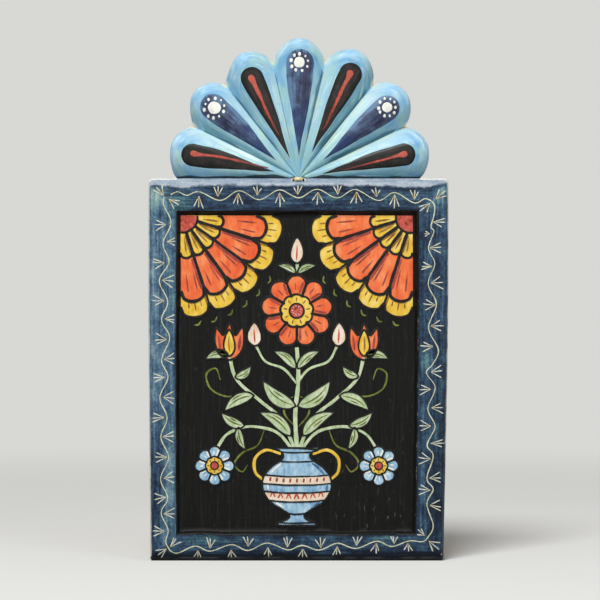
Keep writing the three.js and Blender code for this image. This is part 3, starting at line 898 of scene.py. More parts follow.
def carved_panel():
    across, upward = spread(ACROSS_STEPS), spread(UPWARD_STEPS)
    bm = bmesh.new()
    columns, rows = len(across) - 1, len(upward) - 1
    bmesh.ops.create_grid(bm, x_segments=columns, y_segments=rows, size=1)
    for v in bm.verts:
        span_x, share_x = across[round((v.co.x + 1) / 2 * columns)]
        span_z, share_z = upward[round((v.co.y + 1) / 2 * rows)]
        near_z = mix(LEVEL_LINES[span_z], LEVEL_LINES[span_z + 1], share_z)
        lines = across_lines(near_z)
        x = mix(lines[span_x], lines[span_x + 1], share_x)
        lines = upward_lines(x)
        z = mix(lines[span_z], lines[span_z + 1], share_z)
        bevel = min(bevel_share(span_x, share_x), bevel_share(span_z, share_z))
        wall = min(wall_share(span_x, share_x), wall_share(span_z, share_z))
        wall = mix(wall, ramp_between(wall, 0, 1), 0.6)
        flat = (1 - (1 - bevel) ** 2) * (1 - wall)
        tool = FACE_WAVE * sway(x + 3 * z, 11, 14) + TOOL_MARK * noise.noise(Vector((x / 5, z / 9, 3)))
        y = FRONT + BEVEL_DEPTH * (1 - bevel) ** BEVEL_EASE + FIELD_DEPTH * wall + flat * (tool + TOOL_MARK)
        # The outline's corners are rounded, the top ones more
        low, high = outline_x(-1, z), outline_x(1, z)
        radius = corner_radius(z)
        centre_x = clamp(x, low + radius, high - radius)
        centre_z = clamp(z, radius, PANEL_HEIGHT - radius)
        off = Vector((x - centre_x, z - centre_z))
        if off.x and off.y:
            off *= max(abs(off.x), abs(off.y)) / off.length
        v.co = (centre_x + off.x, y, centre_z + off.y)
    closed_back(bm)
    materials = [indigo_board_paint(), bare_pine("bare_planed_pine")]
    return bored(finish_piece("carved_panel", bm, materials, "board_blue", ["panel_board"]))


def field_gap(x, z):
    """How far inside the field's edge a place lies. It is below 0 on the border."""
    lines, ups = across_lines(z), upward_lines(x)
    sides = min(x - lines[FIRST_EDGE], lines[LAST_EDGE] - x)
    return min(sides, z - ups[FIRST_EDGE], ups[LAST_EDGE] - z)


def side_border(x, z):
    """How much nearer a place is to the side borders than to the top and foot borders."""
    lines, ups = across_lines(z), upward_lines(x)
    sides = max(lines[FIRST_EDGE] - x, x - lines[LAST_EDGE])
    return sides - max(ups[FIRST_EDGE] - z, z - ups[LAST_EDGE])


# Blotches of thin or thick paint on the border, in pixels of the frame: the middle, the reach across and up,
# how much paler than the rest, and how much greener. The long narrow pale one down the left bevel is a
# painted highlight instead.
PALENESS = 4
GREENNESS = 5
BLOTCHES = (
    (156, 197, 9, 12, 0.15, 0.6),
    (180, 204, 10, 8, 0.09, 0.6),
    (441, 196, 10, 10, 0.12, 0.3),
    (449, 189, 6, 5, 0.16, 0.2),
    (424, 206, 9, 6, 0.08, 0.2),
    (426, 361, 6, 11, 0.15, 0.4),
    # A painted highlight down the left bevel, which faces the light
    (154, 310, 4, 120, 0.07, 0.1),
    (173, 300, 5, 170, 0.03, 0.2),
    (171, 490, 6, 55, 0.06, 0.2),
    (155, 500, 8, 55, -0.12, 0.0),
    (330, 197, 16, 5, 0.07, 0.4),
    (392, 196, 16, 5, 0.05, 0.4),
    (195, 188, 14, 3, 0.06, 0.1),
    (205, 540, 24, 5, 0.06, 0.5),
    (290, 538, 50, 4, 0.02, 0.2),
    (385, 539, 24, 5, 0.05, 0.35),
    (441, 420, 9, 80, -0.07, 0.2),
    (436, 505, 12, 45, -0.08, 0.15),
    (423, 470, 4, 70, 0.05, 0.05),
    (423, 310, 5, 90, -0.06, 0.1),
)


def blotched(x, z, what):
    """The sum of the blotches at a place. what says which of their numbers: PALENESS or GREENNESS."""
    total = 0
    for blotch in BLOTCHES:
        middle_x, middle_z = seen_at(*blotch[:2])
        across, up = (reach * PIXEL for reach in blotch[2:4])
        total += blotch[what] * math.exp(-(((x - middle_x) / across) ** 2) - ((z - middle_z) / up) ** 2)
    return total


def sidewaysness(x, y, z):
    """1 on the top and foot borders, 0 on the side borders: which way the strokes run."""
    return ramp_between(-side_border(x, z), -1.5, 1.5)


def board_paleness(x, y, z):
    inner = -0.05 * ramp_between(2.5 + field_gap(x, z), 0, 2)
    top_or_foot = -0.07 if z > PANEL_HEIGHT / 2 else -0.05
    # Painted shade: darker towards the foot, whose bevel turns down away from the light
    painted_foot_shade = -0.1 * ramp_between(FOOT_BEVEL + 3 - z, 0, 4)
    side = 0.035 if x < 0 else -0.03
    return mix(side, top_or_foot, sidewaysness(x, y, z)) + inner + painted_foot_shade + blotched(x, z, PALENESS)


FIELD_ARRIS = (30, 148)  # between these heights the field's right arris shows pale


def panel_worn(x, y, z):
    """Where gesso shows: a line down the left arris, fainter down the right one, the top corners beside the
    crest and a chip at the foot; and a painted highlight along the field's right arris."""
    gap = outline_gap(x, z)
    upright = ramp_between(min(z, PANEL_HEIGHT - z), 0.5, 3)
    left_line = 0.82 * math.exp(-((gap / 1.15) ** 2)) * (x < 0) * upright
    right_line = 0.7 * ramp_between(z, 25, 60) * math.exp(-((gap / 1.1) ** 2)) * (x > 0) * upright
    top_line = 0.94 * math.exp(-((gap / 1.25) ** 2)) * ramp_between(abs(x), 62, 67) * (z > PANEL_HEIGHT - 4)
    foot_chip = 0.7 * math.exp(-((x - 76.6) ** 2) - (z - 3.6) ** 2)
    on_front = math.exp(-((max(y - (FRONT + BEVEL_DEPTH), 0) / 0.5) ** 2))
    low, high = FIELD_ARRIS
    beside = across_lines(z)[LAST_EDGE] - x
    between = ramp_between(z, low, low + 10) * ramp_between(high - z, 0, 10)
    # A painted highlight: a pale line down the field's right arris, where it faces the light
    field_arris_highlight = 0.5 * math.exp(-((beside / 0.4) ** 2)) * between
    return max(left_line, right_line, top_line, foot_chip) * on_front + field_arris_highlight


def foot_line_on_panel(x, y, z):
    """The thin grey line low on the foot's bevel."""
    return 0.4 * math.exp(-(((z - 1.6) / 0.35) ** 2)) * ramp_between(0.2 + sway(x, 61, 9), 0, 0.3)


CORNER_FADE = 0.15
FADE_FROM = 70
FADE_TO = 79


def top_bevel_share(x, y, z):
    """0.5 on the top bevel's lower edge, and 1 a bevel's width above it. It fades in the right corner."""
    up = (z - top_bevel_z(x)) / (2 * TOP_BEVEL)
    return clamp(0.5 + up - CORNER_FADE * ramp_between(x, FADE_FROM, FADE_TO))


panel = carved_panel()
give_attributes(
    panel,
    sideways=sidewaysness,
    paleness=board_paleness,
    greening=lambda x, y, z: blotched(x, z, GREENNESS),
    top_bevel=top_bevel_share,
    foot_bevel=lambda x, y, z: clamp(1 - z / (FOOT_BEVEL + 1.5)),
    foot_line=foot_line_on_panel,
    # Where the field's painted glints lie: low down, and more of them towards the right
    low_field=lambda x, y, z: 0.2 + 0.8 * ramp_between(z, 75, 25) * ramp_between(x, 5, 40),
    field=lambda x, y, z: clamp(field_gap(x, z) + 0.35, -3, 3),
    worn=panel_worn,
)


# The crest, worked out as in the CAD source and carved finer
def lobe_centre(lobe):
    angle = math.radians(lobe[0])
    return Vector((math.cos(angle), math.sin(angle))) * (lobe[1] - LOBE_END_RADIUS)


def notch_angle(left, right):
    """The direction of the groove between two lobes: their round ends cross there."""
    a, b = lobe_centre(left), lobe_centre(right)
    half = (b - a) / 2
    outwards = Vector((-half.y, half.x)).normalized()
    notch = a + half + outwards * math.sqrt(LOBE_END_RADIUS**2 - half.length_squared)
    return math.atan2(notch.y, notch.x)


LOBE_EDGES = [math.pi, *(notch_angle(a, b) for a, b in zip(LOBES, LOBES[1:])), 0.0]
# How much the carver's knife took off each lobe's left and right shoulder
SHOULDERS = ((0, 0.2), (1.5, 0), (2.1, 0.2), (1.3, 0.7), (0.2, 0.6), (0, 0.3), (0.4, 0))
# How much farther out than in an even fan each lobe was carved
TIPS = (0, -0.2, -0.7, 0.4, 0.9, 0, -0.4)


def lobe_rim(lobe, angle):
    middle = math.radians(lobe[0])
    centre = lobe[1] - LOBE_END_RADIUS
    past = math.sqrt(max(LOBE_END_RADIUS**2 - (centre * math.sin(angle - middle)) ** 2, 0))
    return centre * math.cos(angle - middle) + past, max(past / LOBE_END_RADIUS, LEAST_FACING)


def crest_rim(index, angle):
    """How far the outline is in one direction, and how squarely it faces there."""
    lobe = LOBES[index]
    radius, facing = lobe_rim(lobe, angle)
    middle = math.radians(lobe[0])
    foot = math.pi if lobe[0] > 90 else 0.0
    towards_foot = (angle - middle) / (foot - middle)
    if index in (0, len(LOBES) - 1) and towards_foot > 0:
        radius += (CREST_FOOT_REACH - lobe_rim(lobe, foot)[0]) * towards_foot**3
    on_right = angle < middle
    edge = LOBE_EDGES[index + 1] if on_right else LOBE_EDGES[index]
    share = clamp((angle - middle) / (edge - middle))
    # The shoulder's cut is deepest two thirds of the way from the lobe's middle to its edge
    cut = SHOULDERS[index][on_right] * 6.75 * share**2 * (1 - share)
    return radius + TIPS[index] * (1 - share**2) - cut, facing


def crest_thickness(radius, across, rim):
    crown = mix(HUB_THICKNESS, CREST_CROWN, ramp_between(radius, 0, HUB_REACH))
    groove = GROOVE_DEPTH * (radius / CREST_FOOT_REACH) * abs(across) ** LOBE_CROWNING
    over = clamp(1 - (rim[0] - radius) * rim[1] / RIM_ROUNDING)
    return crown - groove - (CREST_CROWN - CREST_RIM) * (1 - math.sqrt(1 - over**2))


def fan_place(x, z):
    """The lobe, the share across it from -1 on its left edge to 1 on its right one, the angle and the
    radius."""
    angle = clamp(math.atan2(z - PANEL_HEIGHT, x), 0, math.pi)
    index = next((i for i in range(len(LOBES)) if angle >= LOBE_EDGES[i + 1]), len(LOBES) - 1)
    middle = math.radians(LOBES[index][0])
    edge = LOBE_EDGES[index] if angle > middle else LOBE_EDGES[index + 1]
    share = (middle - angle) / abs(edge - middle)
    return index, share, angle, math.hypot(x, z - PANEL_HEIGHT)


LOBE_STEPS = 36
RIDGE_STEPS = 76
ROW_CROWDING = 1.6


def carved_crest():
    columns = LOBE_STEPS * len(LOBES)
    bm = bmesh.new()
    bmesh.ops.create_grid(bm, x_segments=columns, y_segments=RIDGE_STEPS, size=1)
    for v in bm.verts:
        column = round((v.co.x + 1) / 2 * columns)
        row = round((v.co.y + 1) / 2 * RIDGE_STEPS)
        index = min(column // LOBE_STEPS, len(LOBES) - 1)
        share = 2 * (column - index * LOBE_STEPS) / LOBE_STEPS - 1
        edge = LOBE_EDGES[index] if share < 0 else LOBE_EDGES[index + 1]
        angle = mix(math.radians(LOBES[index][0]), edge, abs(share))
        rim = crest_rim(index, angle)
        radius = rim[0] * (1 - (1 - row / RIDGE_STEPS) ** ROW_CROWDING)
        # Long gouge marks that run out from the hub
        gouge = 0.2 * noise.noise(Vector((angle * 14, radius / 26, 1))) * ramp_between(radius, 4, 20)
        y = BACK - crest_thickness(radius, share, rim) + gouge * (1 - (row / RIDGE_STEPS) ** 8)
        v.co = (radius * math.cos(angle), y, PANEL_HEIGHT + radius * math.sin(angle))
    bmesh.ops.remove_doubles(bm, verts=bm.verts, dist=0.0005)
    closed_back(bm)
    materials = [sky_crest_paint(), bare_pine("bare_pine_crest_back", "x")]
    return bored(finish_piece("carved_crest", bm, materials, "crest_sky", ["crest_shell"]))


def fan_turn(x, y, z):
    """How far round the fan a place is, in about millimetres at the lobes' round ends."""
    return 50 * fan_place(x, z)[2]


def fan_reach(x, y, z):
    return fan_place(x, z)[3]


def rim_gap(x, y, z):
    """How far inside the crest's outline a place lies."""
    index, _, angle, radius = fan_place(x, z)
    reach, facing = crest_rim(index, angle)
    return max(reach - radius, 0) * facing


def lower_share(x, z):
    """The share across a lobe, counted towards its lower side, which faces away from the light. The top
    lobe's is its right one."""
    index, share = fan_place(x, z)[:2]
    middle = len(LOBES) // 2
    return -share if index < middle else share


# How strong each lobe's painted highlight on its upper side is near the hub and towards the tip, and
# how strong the painted shade on its lower side is there
PAINTED_HIGHLIGHT_NEAR = (1.1, 0.45, 0.35, 0.35, 0.3, 0.15, 0.42)
PAINTED_HIGHLIGHT_FAR = (0.62, 0.4, 0.4, 0.15, 0.42, 0.7, 0.48)
PAINTED_SHADE_NEAR = (0.8, 0.75, 0.5, 0.2, 1.45, 1.6, 0.9)
PAINTED_SHADE_FAR = (0.42, 0.6, 0.46, 0.12, 0.9, 0.48, 0.7)
GROOVE_PAINTED_SHADE = 0.3
GROOVE_LINE = 0.995  # beyond this share across a lobe lies the groove's own line


def lee_side(x, y, z):
    """Painted light on a lobe: below 0, for a painted highlight, on the side towards the light, and above 0,
    for painted shade, on its other side. The groove's own line has a number of its own."""
    index, share, _, radius = fan_place(x, z)
    if abs(share) > GROOVE_LINE:
        return GROOVE_PAINTED_SHADE
    lower = lower_share(x, z)
    if lower > 0:
        strength = mix(PAINTED_SHADE_NEAR[index], PAINTED_SHADE_FAR[index], ramp_between(radius, 24, 52))
    else:
        strength = mix(PAINTED_HIGHLIGHT_NEAR[index], PAINTED_HIGHLIGHT_FAR[index], ramp_between(radius, 24, 52))
        strength *= mix(0.1, 1, ramp_between(radius, 8, 34))
    strength *= mix(0.75, 1, ramp_between(rim_gap(x, y, z), 2, 10))
    return strength * math.copysign(ramp_between(abs(lower), 0.1, 0.95), lower)


def groove_side(x, z, side):
    """1 along one side of the grooves between the lobes. It runs out before the rim and at the crest's foot.
    The dark side, 1, partly dark paint and partly painted shade away from the light, has the groove's own
    line."""
    index, share, _, radius = fan_place(x, z)
    lower = lower_share(x, z) * side
    half_lobe = max(0.22 * radius, 1)
    width = (mix(0.45, 1.3, ramp_between(x, -20, 20)) + 0.9 * sway(radius, index + 3.3 * side, 9)) / half_lobe
    # The right lobes' grooves hold more paint near the hub
    width = max(width * (1 + ramp_between(x, 2, 12) * ramp_between(radius, 40, 18) * (side > 0)), 0.02)
    inside = ramp_between(rim_gap(x, 0, z), 1.5, 5) * ramp_between(z - PANEL_HEIGHT, 1, 4)
    inside *= ramp_between(radius, 8, 26)
    if abs(share) > GROOVE_LINE:
        return inside if side > 0 else 0.0
    return ramp_between(lower, 1 - 2 * width, 1 - 0.6 * width) * inside


def crest_worn(x, y, z):
    """The rim's pale line, clearer on the right lobes and, as a painted highlight, towards the light, and
    bare gesso in the notches."""
    index, share, angle, radius = fan_place(x, z)
    rim = crest_rim(index, angle)
    front = BACK - crest_thickness(min(radius, rim[0]), share, rim)
    strength = mix(0.46, 0.58, ramp_between(x, -10, 20))
    # Painted highlight: the rim's line fades on the lower side, away from the light
    strength *= 1 - 0.6 * ramp_between(lower_share(x, z), 0.1, 0.8)
    at_rim = math.exp(-((max(rim[0] - radius, 0) / 0.6) ** 2))
    in_notch = ramp_between(abs(share), 0.75, 0.95) * ramp_between(radius, rim[0] - 5, rim[0] - 1)
    in_notch *= ramp_between(z - PANEL_HEIGHT, 4, 9)
    return max(strength * at_rim, 0.85 * in_notch) * math.exp(-((max(y - front, 0) / 0.9) ** 2))


def foot_line(x, y, z):
    """The painted shadow line where the crest meets the panel, which runs out at the hub."""
    near_hub = (0.8 if x < 0 else 0.3) * ramp_between(abs(x), 40, 14)
    high = (1.2 + near_hub + 0.8 * sway(x, 77, 9)) * ramp_between(abs(x), 2, 14)
    return (1 - ramp_between(z - PANEL_HEIGHT, high - 0.6, high + 0.9)) * ramp_between(abs(x), 2, 6)


crest = carved_crest()
give_attributes(
    crest,
    fan_turn=fan_turn,
    fan_reach=fan_reach,
    rim_gap=rim_gap,
    lee=lee_side,
    dark_groove=lambda x, y, z: groove_side(x, z, 1),
    pale_groove=lambda x, y, z: groove_side(x, z, -1),
    foot_line=foot_line,
    worn=crest_worn,
)

panel_front = surface_of(panel)
crest_front = surface_of(crest)


# Brushwork on the boards
beech_rod = beech()
for node in ("crest_dowel_left", "crest_dowel_right"):
    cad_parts[node].data.materials.clear()
    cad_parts[node].data.materials.append(beech_rod)


HAND_REACH = 0.22
HAND_GRAIN = 9


def hand(x, z):
    """Moves a place a little, as a brush held free would. Strokes and patches in one place move together."""
    place = Vector((x / HAND_GRAIN, z / HAND_GRAIN, 0.5))
    aside = HAND_REACH * noise.noise(place)
    up = HAND_REACH * noise.noise(place + Vector((31, 17, 5)))
    return x + aside, z + up


def strokes_mesh(bm, strokes, front, flatness):
    """Brush strokes on a surface: round runs of paint flattened on it. Each point is x, z and half a
    width."""
    curve = bpy.data.curves.new("strokes", "CURVE")
    curve.dimensions = "3D"
    curve.bevel_depth = 1
    curve.bevel_resolution = 1
    curve.use_fill_caps = True
    for points in strokes:
        spline = curve.splines.new("POLY")
        spline.points.add(len(points) - 1)
        for place, (x, z, half) in zip(spline.points, points):
            x, z = hand(x, z)
            place.co = (x, 0, z, 1)
            place.radius = half
    wire = bpy.data.objects.new("strokes", curve)
    mesh = bpy.data.meshes.new_from_object(wire)
    mesh_bm = bmesh.new()
    mesh_bm.from_mesh(mesh)
    bmesh.ops.remove_doubles(mesh_bm, verts=mesh_bm.verts, dist=0.001)
    for v in mesh_bm.verts:
        v.co.y = front(v.co.x, v.co.z) + v.co.y * flatness
    bmesh.ops.recalc_face_normals(mesh_bm, faces=mesh_bm.faces)
    mesh_bm.to_mesh(mesh)
    mesh_bm.free()
    bm.from_mesh(mesh)
    bpy.data.objects.remove(wire)
    bpy.data.curves.remove(curve)
    bpy.data.meshes.remove(mesh)


def brush_strokes(name, strokes, front, material, slot, flatness=0.3):
    bm = bmesh.new()
    strokes_mesh(bm, strokes, front, flatness)
    return finish_piece(name, bm, [material], slot)


# The wavy vine on the border: the places of its bends, in pixels of the frame
VINE_TOP = (
    (170.6, 194.4), (177.8, 191.8), (186.9, 195.4), (199.2, 191.8), (220.6, 200.5), (239, 190.8),
    (259.4, 199.5), (279.8, 189.8), (299, 197.8), (317.1, 189.2), (337.2, 197.8), (355.3, 189.7),
    (378.1, 200.5), (394.8, 192.5), (414, 202.6), (424.7, 198.6), (431.4, 200.7),
)
VINE_RIGHT = (
    (431.4, 200.7), (434.6, 206), (433.9, 216.4), (431.2, 226.8), (434.1, 232), (428.6, 248), (434.8, 264),
    (428.3, 284), (436.5, 304), (428.6, 328), (438.6, 350), (432.8, 364.6), (426.4, 373), (435, 388),
    (427.8, 409), (435, 426.5), (427.3, 445), (433.2, 456), (426.9, 478.5), (433.2, 489.5), (426.8, 504),
    (433, 526), (426.2, 540),
)
VINE_LEFT = (
    (164, 197), (163.5, 204.6), (171.1, 223), (163, 243.4), (168.8, 262), (159.2, 280.5), (167.7, 302),
    (161.8, 320), (169.5, 338), (161.8, 360), (167.9, 377), (159.7, 398), (166.9, 418), (161, 437.5),
    (168.6, 457.5), (160.7, 478.4), (167.9, 498.5), (161, 512.8), (168, 529.5), (166, 542), (170.6, 551.1),
)
VINE_FOOT = (
    (170.6, 551.1), (178, 553), (195.1, 546.3), (210, 551), (231.8, 544.6), (248, 550.5), (267.6, 543.2),
    (288, 550), (302, 545.4), (318.9, 550), (337.2, 543.5), (356, 548.6), (376.7, 541.3), (392, 546.4),
    (408.6, 540.8), (421.4, 541.9), (426.2, 540),
)
VINE_HALF = 0.31
TOP_VINE_HALF = 0.28

# The sprigs' roots, in pixels of the frame, by the direction that the strokes point in, in degrees
SPRIG_ROOTS = {
    -90: (
        (199.2, 195.9), (238.5, 192.9), (279.8, 192.3), (318.1, 191.7), (356.6, 191.7), (394.8, 194.4),
        (197.8, 550.3), (231, 549.6), (268, 547.2), (302.8, 548.7), (336.8, 546.4), (376.3, 542.9),
        (407.8, 542.5),
    ),
    90: (
        (218, 196.9), (257.3, 195.4), (297.7, 194.9), (337.9, 194.8), (376.4, 197.1), (414.4, 199.4),
        (210, 548.4), (247.9, 546.9), (287.1, 547.6), (320.8, 548), (356.4, 546), (393.9, 544),
    ),
    180: (
        (166.5, 224.5), (164.5, 262.8), (164.2, 300.8), (166.5, 339.8), (164.8, 377.3), (164.2, 417.7),
        (167.1, 457.2), (166.4, 497.5), (164.9, 531.6), (432.6, 266.5), (435.8, 304.9), (433.3, 346.7),
        (430.7, 389.6), (431.2, 426.3), (430.6, 459), (430.6, 490.2),
    ),
    0: (
        (166.5, 241.8), (162, 280.1), (164.8, 319.2), (164.2, 359.3), (163, 397.3), (162.4, 436.8),
        (163.7, 478), (163.3, 514), (433, 222.2), (429.3, 247.9), (431, 283), (430.7, 325.8), (430.7, 372.2),
        (431.2, 408), (430.6, 443.6), (429, 478.3), (429.4, 505.4),
    ),
}
# Their strokes' length by direction, in pixels: the ones that hang from the top vine are the longest
SPRIG_LENGTHS = {-90: 12.6, 90: 9.4, 180: 11.6, 0: 11.6}
FOOT_SPRIG_LENGTHS = {-90: 9, 90: 10.6}
SPRIG_CLEARANCE = 0.9  # between a stroke's end and the field, in millimetres
FOOT_CLEARANCE = 1.8  # and the board's foot
TRIM_STEP = 0.2
STROKE_POINTS = 10
# Sprigs with a direction and a length of their own, in the corners and one small one on the right
CORNER_SPRIGS = (
    (163.7, 196, 127, 10.8), (168.6, 199, -35, 11.6), (430.1, 203.1, 222, 11), (435.5, 199, 39, 11.6),
    (170.2, 546.9, 48, 11.8), (166.8, 548.8, 217, 10.6), (424.6, 535.7, 140, 9.8), (428.6, 540.9, -40, 11.6),
    (430.1, 233.8, 180, 5.5),
)


def vine_stroke(points, half=VINE_HALF):
    path = smooth_path([seen_at(x, y) for x, y in points], 10)
    return [(p.x, p.y, half * (1 + 0.35 * sway(p.x + 1.3 * p.y, 21, 7))) for p in path]


def sprig(x, y, direction, length, seed):
    """Three short strokes that open out from one root, each laid by its own flick of the brush."""
    root = Vector(seen_at(x, y))
    lean = 11 * sway(seed * 5.3, 2.2, 4)
    made = []
    for k in (-1, 0, 1):
        turn = k * (23 + 9 * sway(seed * 3.7 + k, 4.1, 3)) + 9 * sway(seed * 2.9 + 5 * k, 8.3, 3)
        angle = math.radians(direction + lean + turn)
        ahead = Vector((math.cos(angle), math.sin(angle)))
        aside = Vector((-ahead.y, ahead.x))
        reach = length * (1 + 0.3 * sway(seed * 4.1 + 7 * k, 5.7, 3)) * (1.0 if k else 1.04) * PIXEL
        reach = min(reach, (root.y - FOOT_CLEARANCE) / max(-ahead.y, 0.01))
        while field_gap(*(root + ahead * reach)) > -SPRIG_CLEARANCE:
            reach -= TRIM_STEP
        start = (0.2 + 1.2 * abs(sway(seed * 7.9 + 4 * k, 6.3, 3))) * PIXEL
        bend = 0.3 * k + 0.6 * sway(seed * 6.7 + 3 * k, 9.1, 3)
        stroke = []
        for i in range(STROKE_POINTS):
            t = i / (STROKE_POINTS - 1)
            place = root + ahead * mix(start, reach, t) + aside * bend * t * t
            pressed = mix(0.15, 0.33, ramp_between(t, 0, 0.75)) * (1 - 0.45 * ramp_between(t, 0.88, 1))
            stroke.append((*place, pressed))
        made.append(stroke)
    return made


sprig_places = [
    (x, y, turn, (SPRIG_LENGTHS if y < 535 or turn % 180 == 0 else FOOT_SPRIG_LENGTHS)[turn])
    for turn, roots in SPRIG_ROOTS.items()
    for x, y in roots
]
sprigs = [stroke for i, place in enumerate([*sprig_places, *CORNER_SPRIGS]) for stroke in sprig(*place, i)]
TOUCH_MARGIN = 0.03  # how much wider than the stroke on each side


def ochre_touch(stroke):
    """A touch of ochre over a stroke near its root, farther up on the top border."""
    count = 6 if stroke[0][1] > PANEL_HEIGHT - TOP_BORDER else 3
    return [(x, z, half + TOUCH_MARGIN) for x, z, half in stroke[:count]]


# Two strokes of each sprig are touched
touches = [ochre_touch(stroke) for i, stroke in enumerate(sprigs) if (i + i // 3) % 3]

cream_line = brushed("cream_casein_line", CREAM_STOPS, (2.2, 2, 2.2), 6, (0.42, 0.6), 0.02)
sprig_cream = brushed("cream_casein_flicks", SPRIG_STOPS, (1.6, 2, 1.6), 5, (0.42, 0.6), 0.02)
ochre_paint = brushed("ochre_casein_touch", OCHRE_STOPS, (2.2, 2, 2.2), 5, (0.42, 0.6), 0.02)
vine = [vine_stroke(VINE_TOP, TOP_VINE_HALF), *map(vine_stroke, (VINE_RIGHT, VINE_LEFT, VINE_FOOT))]
brush_strokes("vine_line", vine, panel_front, cream_line, "line_cream")
brush_strokes("vine_sprigs", sprigs, panel_front, sprig_cream, "line_cream", 0.34)
brush_strokes("sprig_touches", touches, panel_front, ochre_paint, "line_cream", 0.36)

# Drops on the lobes: the head's middle, its radius and the tip, in pixels of the frame
BLACK_DROPS = (
    ((192.6, 154.9), 11.5, (275, 171.6)),
    ((252, 78), 11.4, (290.3, 158.6)),
    ((350.6, 74), 11.6, (311.4, 152.6)),
    ((404.6, 154.4), 11.0, (321.6, 173.4)),
)
NAVY_DROPS = (
    ((213.2, 106.8), 13.4, (276, 160.4)),
    ((300, 62.6), 14.0, (298.7, 156)),
    ((387, 108), 12.8, (323.8, 159.6)),
)
DROP_RISE = 0.12
DROP_CLEARANCE = 0.015  # from the lobe to the patch's edge
DROP_SKIRT = 0.3  # how far that edge goes down into the lobe
DROP_FULLNESS = 0.18  # how far the sides swell beyond straight ones
UPPER_FULLNESS = 0.15  # and how much more than that on the upper side of a level drop


def drop_half_width(along, length, radius, fullness):
    """Half the width of a drop at a distance from its tip. Its sides swell a little and run onto its
    round head."""
    reach = length - radius
    lean = math.asin(radius / reach)
    straight = reach - radius * math.sin(lean)
    if along < straight:
        return along * math.tan(lean) * (1 + fullness * math.sin(math.pi * along / straight))
    return math.sqrt(max(radius**2 - (along - reach) ** 2, 0))


def paint_drop(bm, edge_layer, head, radius, tip, seed):
    """One drop as a patch that follows the lobe."""
    head, tip = Vector(seen_at(*head)), Vector(seen_at(*tip))
    radius *= PIXEL
    axis = (head - tip).normalized()
    aside = Vector((-axis.y, axis.x))
    length = (head - tip).length + radius
    made = bmesh.ops.create_grid(bm, x_segments=14, y_segments=56, size=1)["verts"]
    for v in made:
        share, t = v.co.x, (v.co.y + 1) / 2
        t = 1 - (1 - t) ** 1.5
        along = length * mix(0.004, 0.9995, t)
        fullness = DROP_FULLNESS + UPPER_FULLNESS * axis.x * math.copysign(1, share)
        half = drop_half_width(along, length, radius, fullness)
        half *= 1 + 0.07 * sway(along, seed + 0.5 * (share > 0), 9)
        x, z = hand(*(tip + axis * along + aside * half * share))
        edge = max(abs(share), ramp_between(t, 0.97, 1.0), 1 - ramp_between(t, 0, 0.03))
        lift = DROP_RISE * (1 - ramp_between(edge, 0.86, 1.0))
        v.co = (x, crest_front(x, z) - lift - DROP_CLEARANCE, z)
        rim = max(abs(share), ramp_between(along, length - 4, length - 0.5))
        v[edge_layer] = rim * ramp_between(t, 0.1, 0.5)
    edge = [e for e in {e for v in made for e in v.link_edges} if e.is_boundary]
    bmesh.ops.contextual_create(bm, geom=carried_back(bm, edge, lambda y: y + DROP_SKIRT))


def drops(name, places, material, slot):
    bm = bmesh.new()
    edge_layer = bm.verts.layers.float.new("edge")
    for i, place in enumerate(places):
        paint_drop(bm, edge_layer, *place, i + 41)
    bmesh.ops.recalc_face_normals(bm, faces=bm.faces)
    piece = finish_piece(name, bm, [material], slot)
    give_attributes(
        piece,
        fan_turn=fan_turn,
        fan_reach=fan_reach,
        lower=lambda x, y, z: clamp(2.2 * lower_share(x, z), -1, 1),
    )


black_paint = brushed("bone_black_tempera", BLACK_STOPS, (2, 2, 2), 6)
drop_black = drop_paint("bone_black_on_lobes", DROP_BLACK_STOPS, -0.16, 0.03, "#211a1b")
drop_navy = drop_paint("navy_tempera", NAVY_STOPS, 0.1, -0.07, "#1f3a68")
drops("black_drops", BLACK_DROPS, drop_black, "paint_black")
drops("navy_drops", NAVY_DROPS, drop_navy, "paint_navy")

# Red commas on the black drops: from the round head to the thin end, x, y and half a width in pixels
RED_COMMAS = (
    (
        (190.6, 152.6, 1.9), (192.6, 153.1, 3.2), (195.4, 153.7, 3.2), (199, 154.4, 2.1), (204, 155, 1.5),
        (212, 155.7, 1.4), (226, 157.9, 1.4), (240, 161, 1.1), (256, 164.8, 0.8), (268, 167.6, 0.4),
    ),
    (
        (249.6, 75, 2.0), (250.8, 77, 3.4), (252.2, 79.4, 3.5), (254, 83, 2.7), (256.4, 88, 2.1),
        (259.8, 95, 2.0), (264, 105, 1.5), (269.5, 117, 1.3), (275, 128, 1.0), (279.6, 135.4, 0.4),
    ),
    (
        (350.9, 70.2, 2.2), (350.4, 72.2, 3.7), (349.7, 74.4, 3.7), (348, 78.4, 2.3), (345.4, 83, 2.0),
        (342, 90, 1.9), (337.5, 100, 1.7), (332, 112, 1.4), (327, 122.5, 1.1), (323.2, 129.4, 0.4),
    ),
    (
        (407.2, 152.8, 2.0), (405.4, 153.4, 3.5), (403.2, 154.2, 3.6), (400.2, 155, 2.5), (396.6, 156, 1.7),
        (390, 157.9, 1.2), (378, 161, 1.0), (366, 164.2, 0.8), (352, 167.8, 0.6), (341, 170.8, 0.3),
    ),
)
red_paint = brushed("vermilion_tempera", RED_STOPS, (1.6, 2, 1.6), 4)


def crest_paint_front(x, z):
    """The drops' surface, for what is painted over them."""
    return crest_front(x, z) - DROP_RISE


def comma_stroke(comma):
    path = smooth_path([(*seen_at(x, y), half * PIXEL) for x, y, half in comma], 6)
    stroke = []
    for i, p in enumerate(path):
        # The tail is uneven, where the brush ran dry
        dry = 0.5 * ramp_between(i / len(path), 0.3, 0.6) * sway(p.x + p.y, 71, 2)
        stroke.append((p.x, p.y, p.z * (1 + dry)))
    return stroke


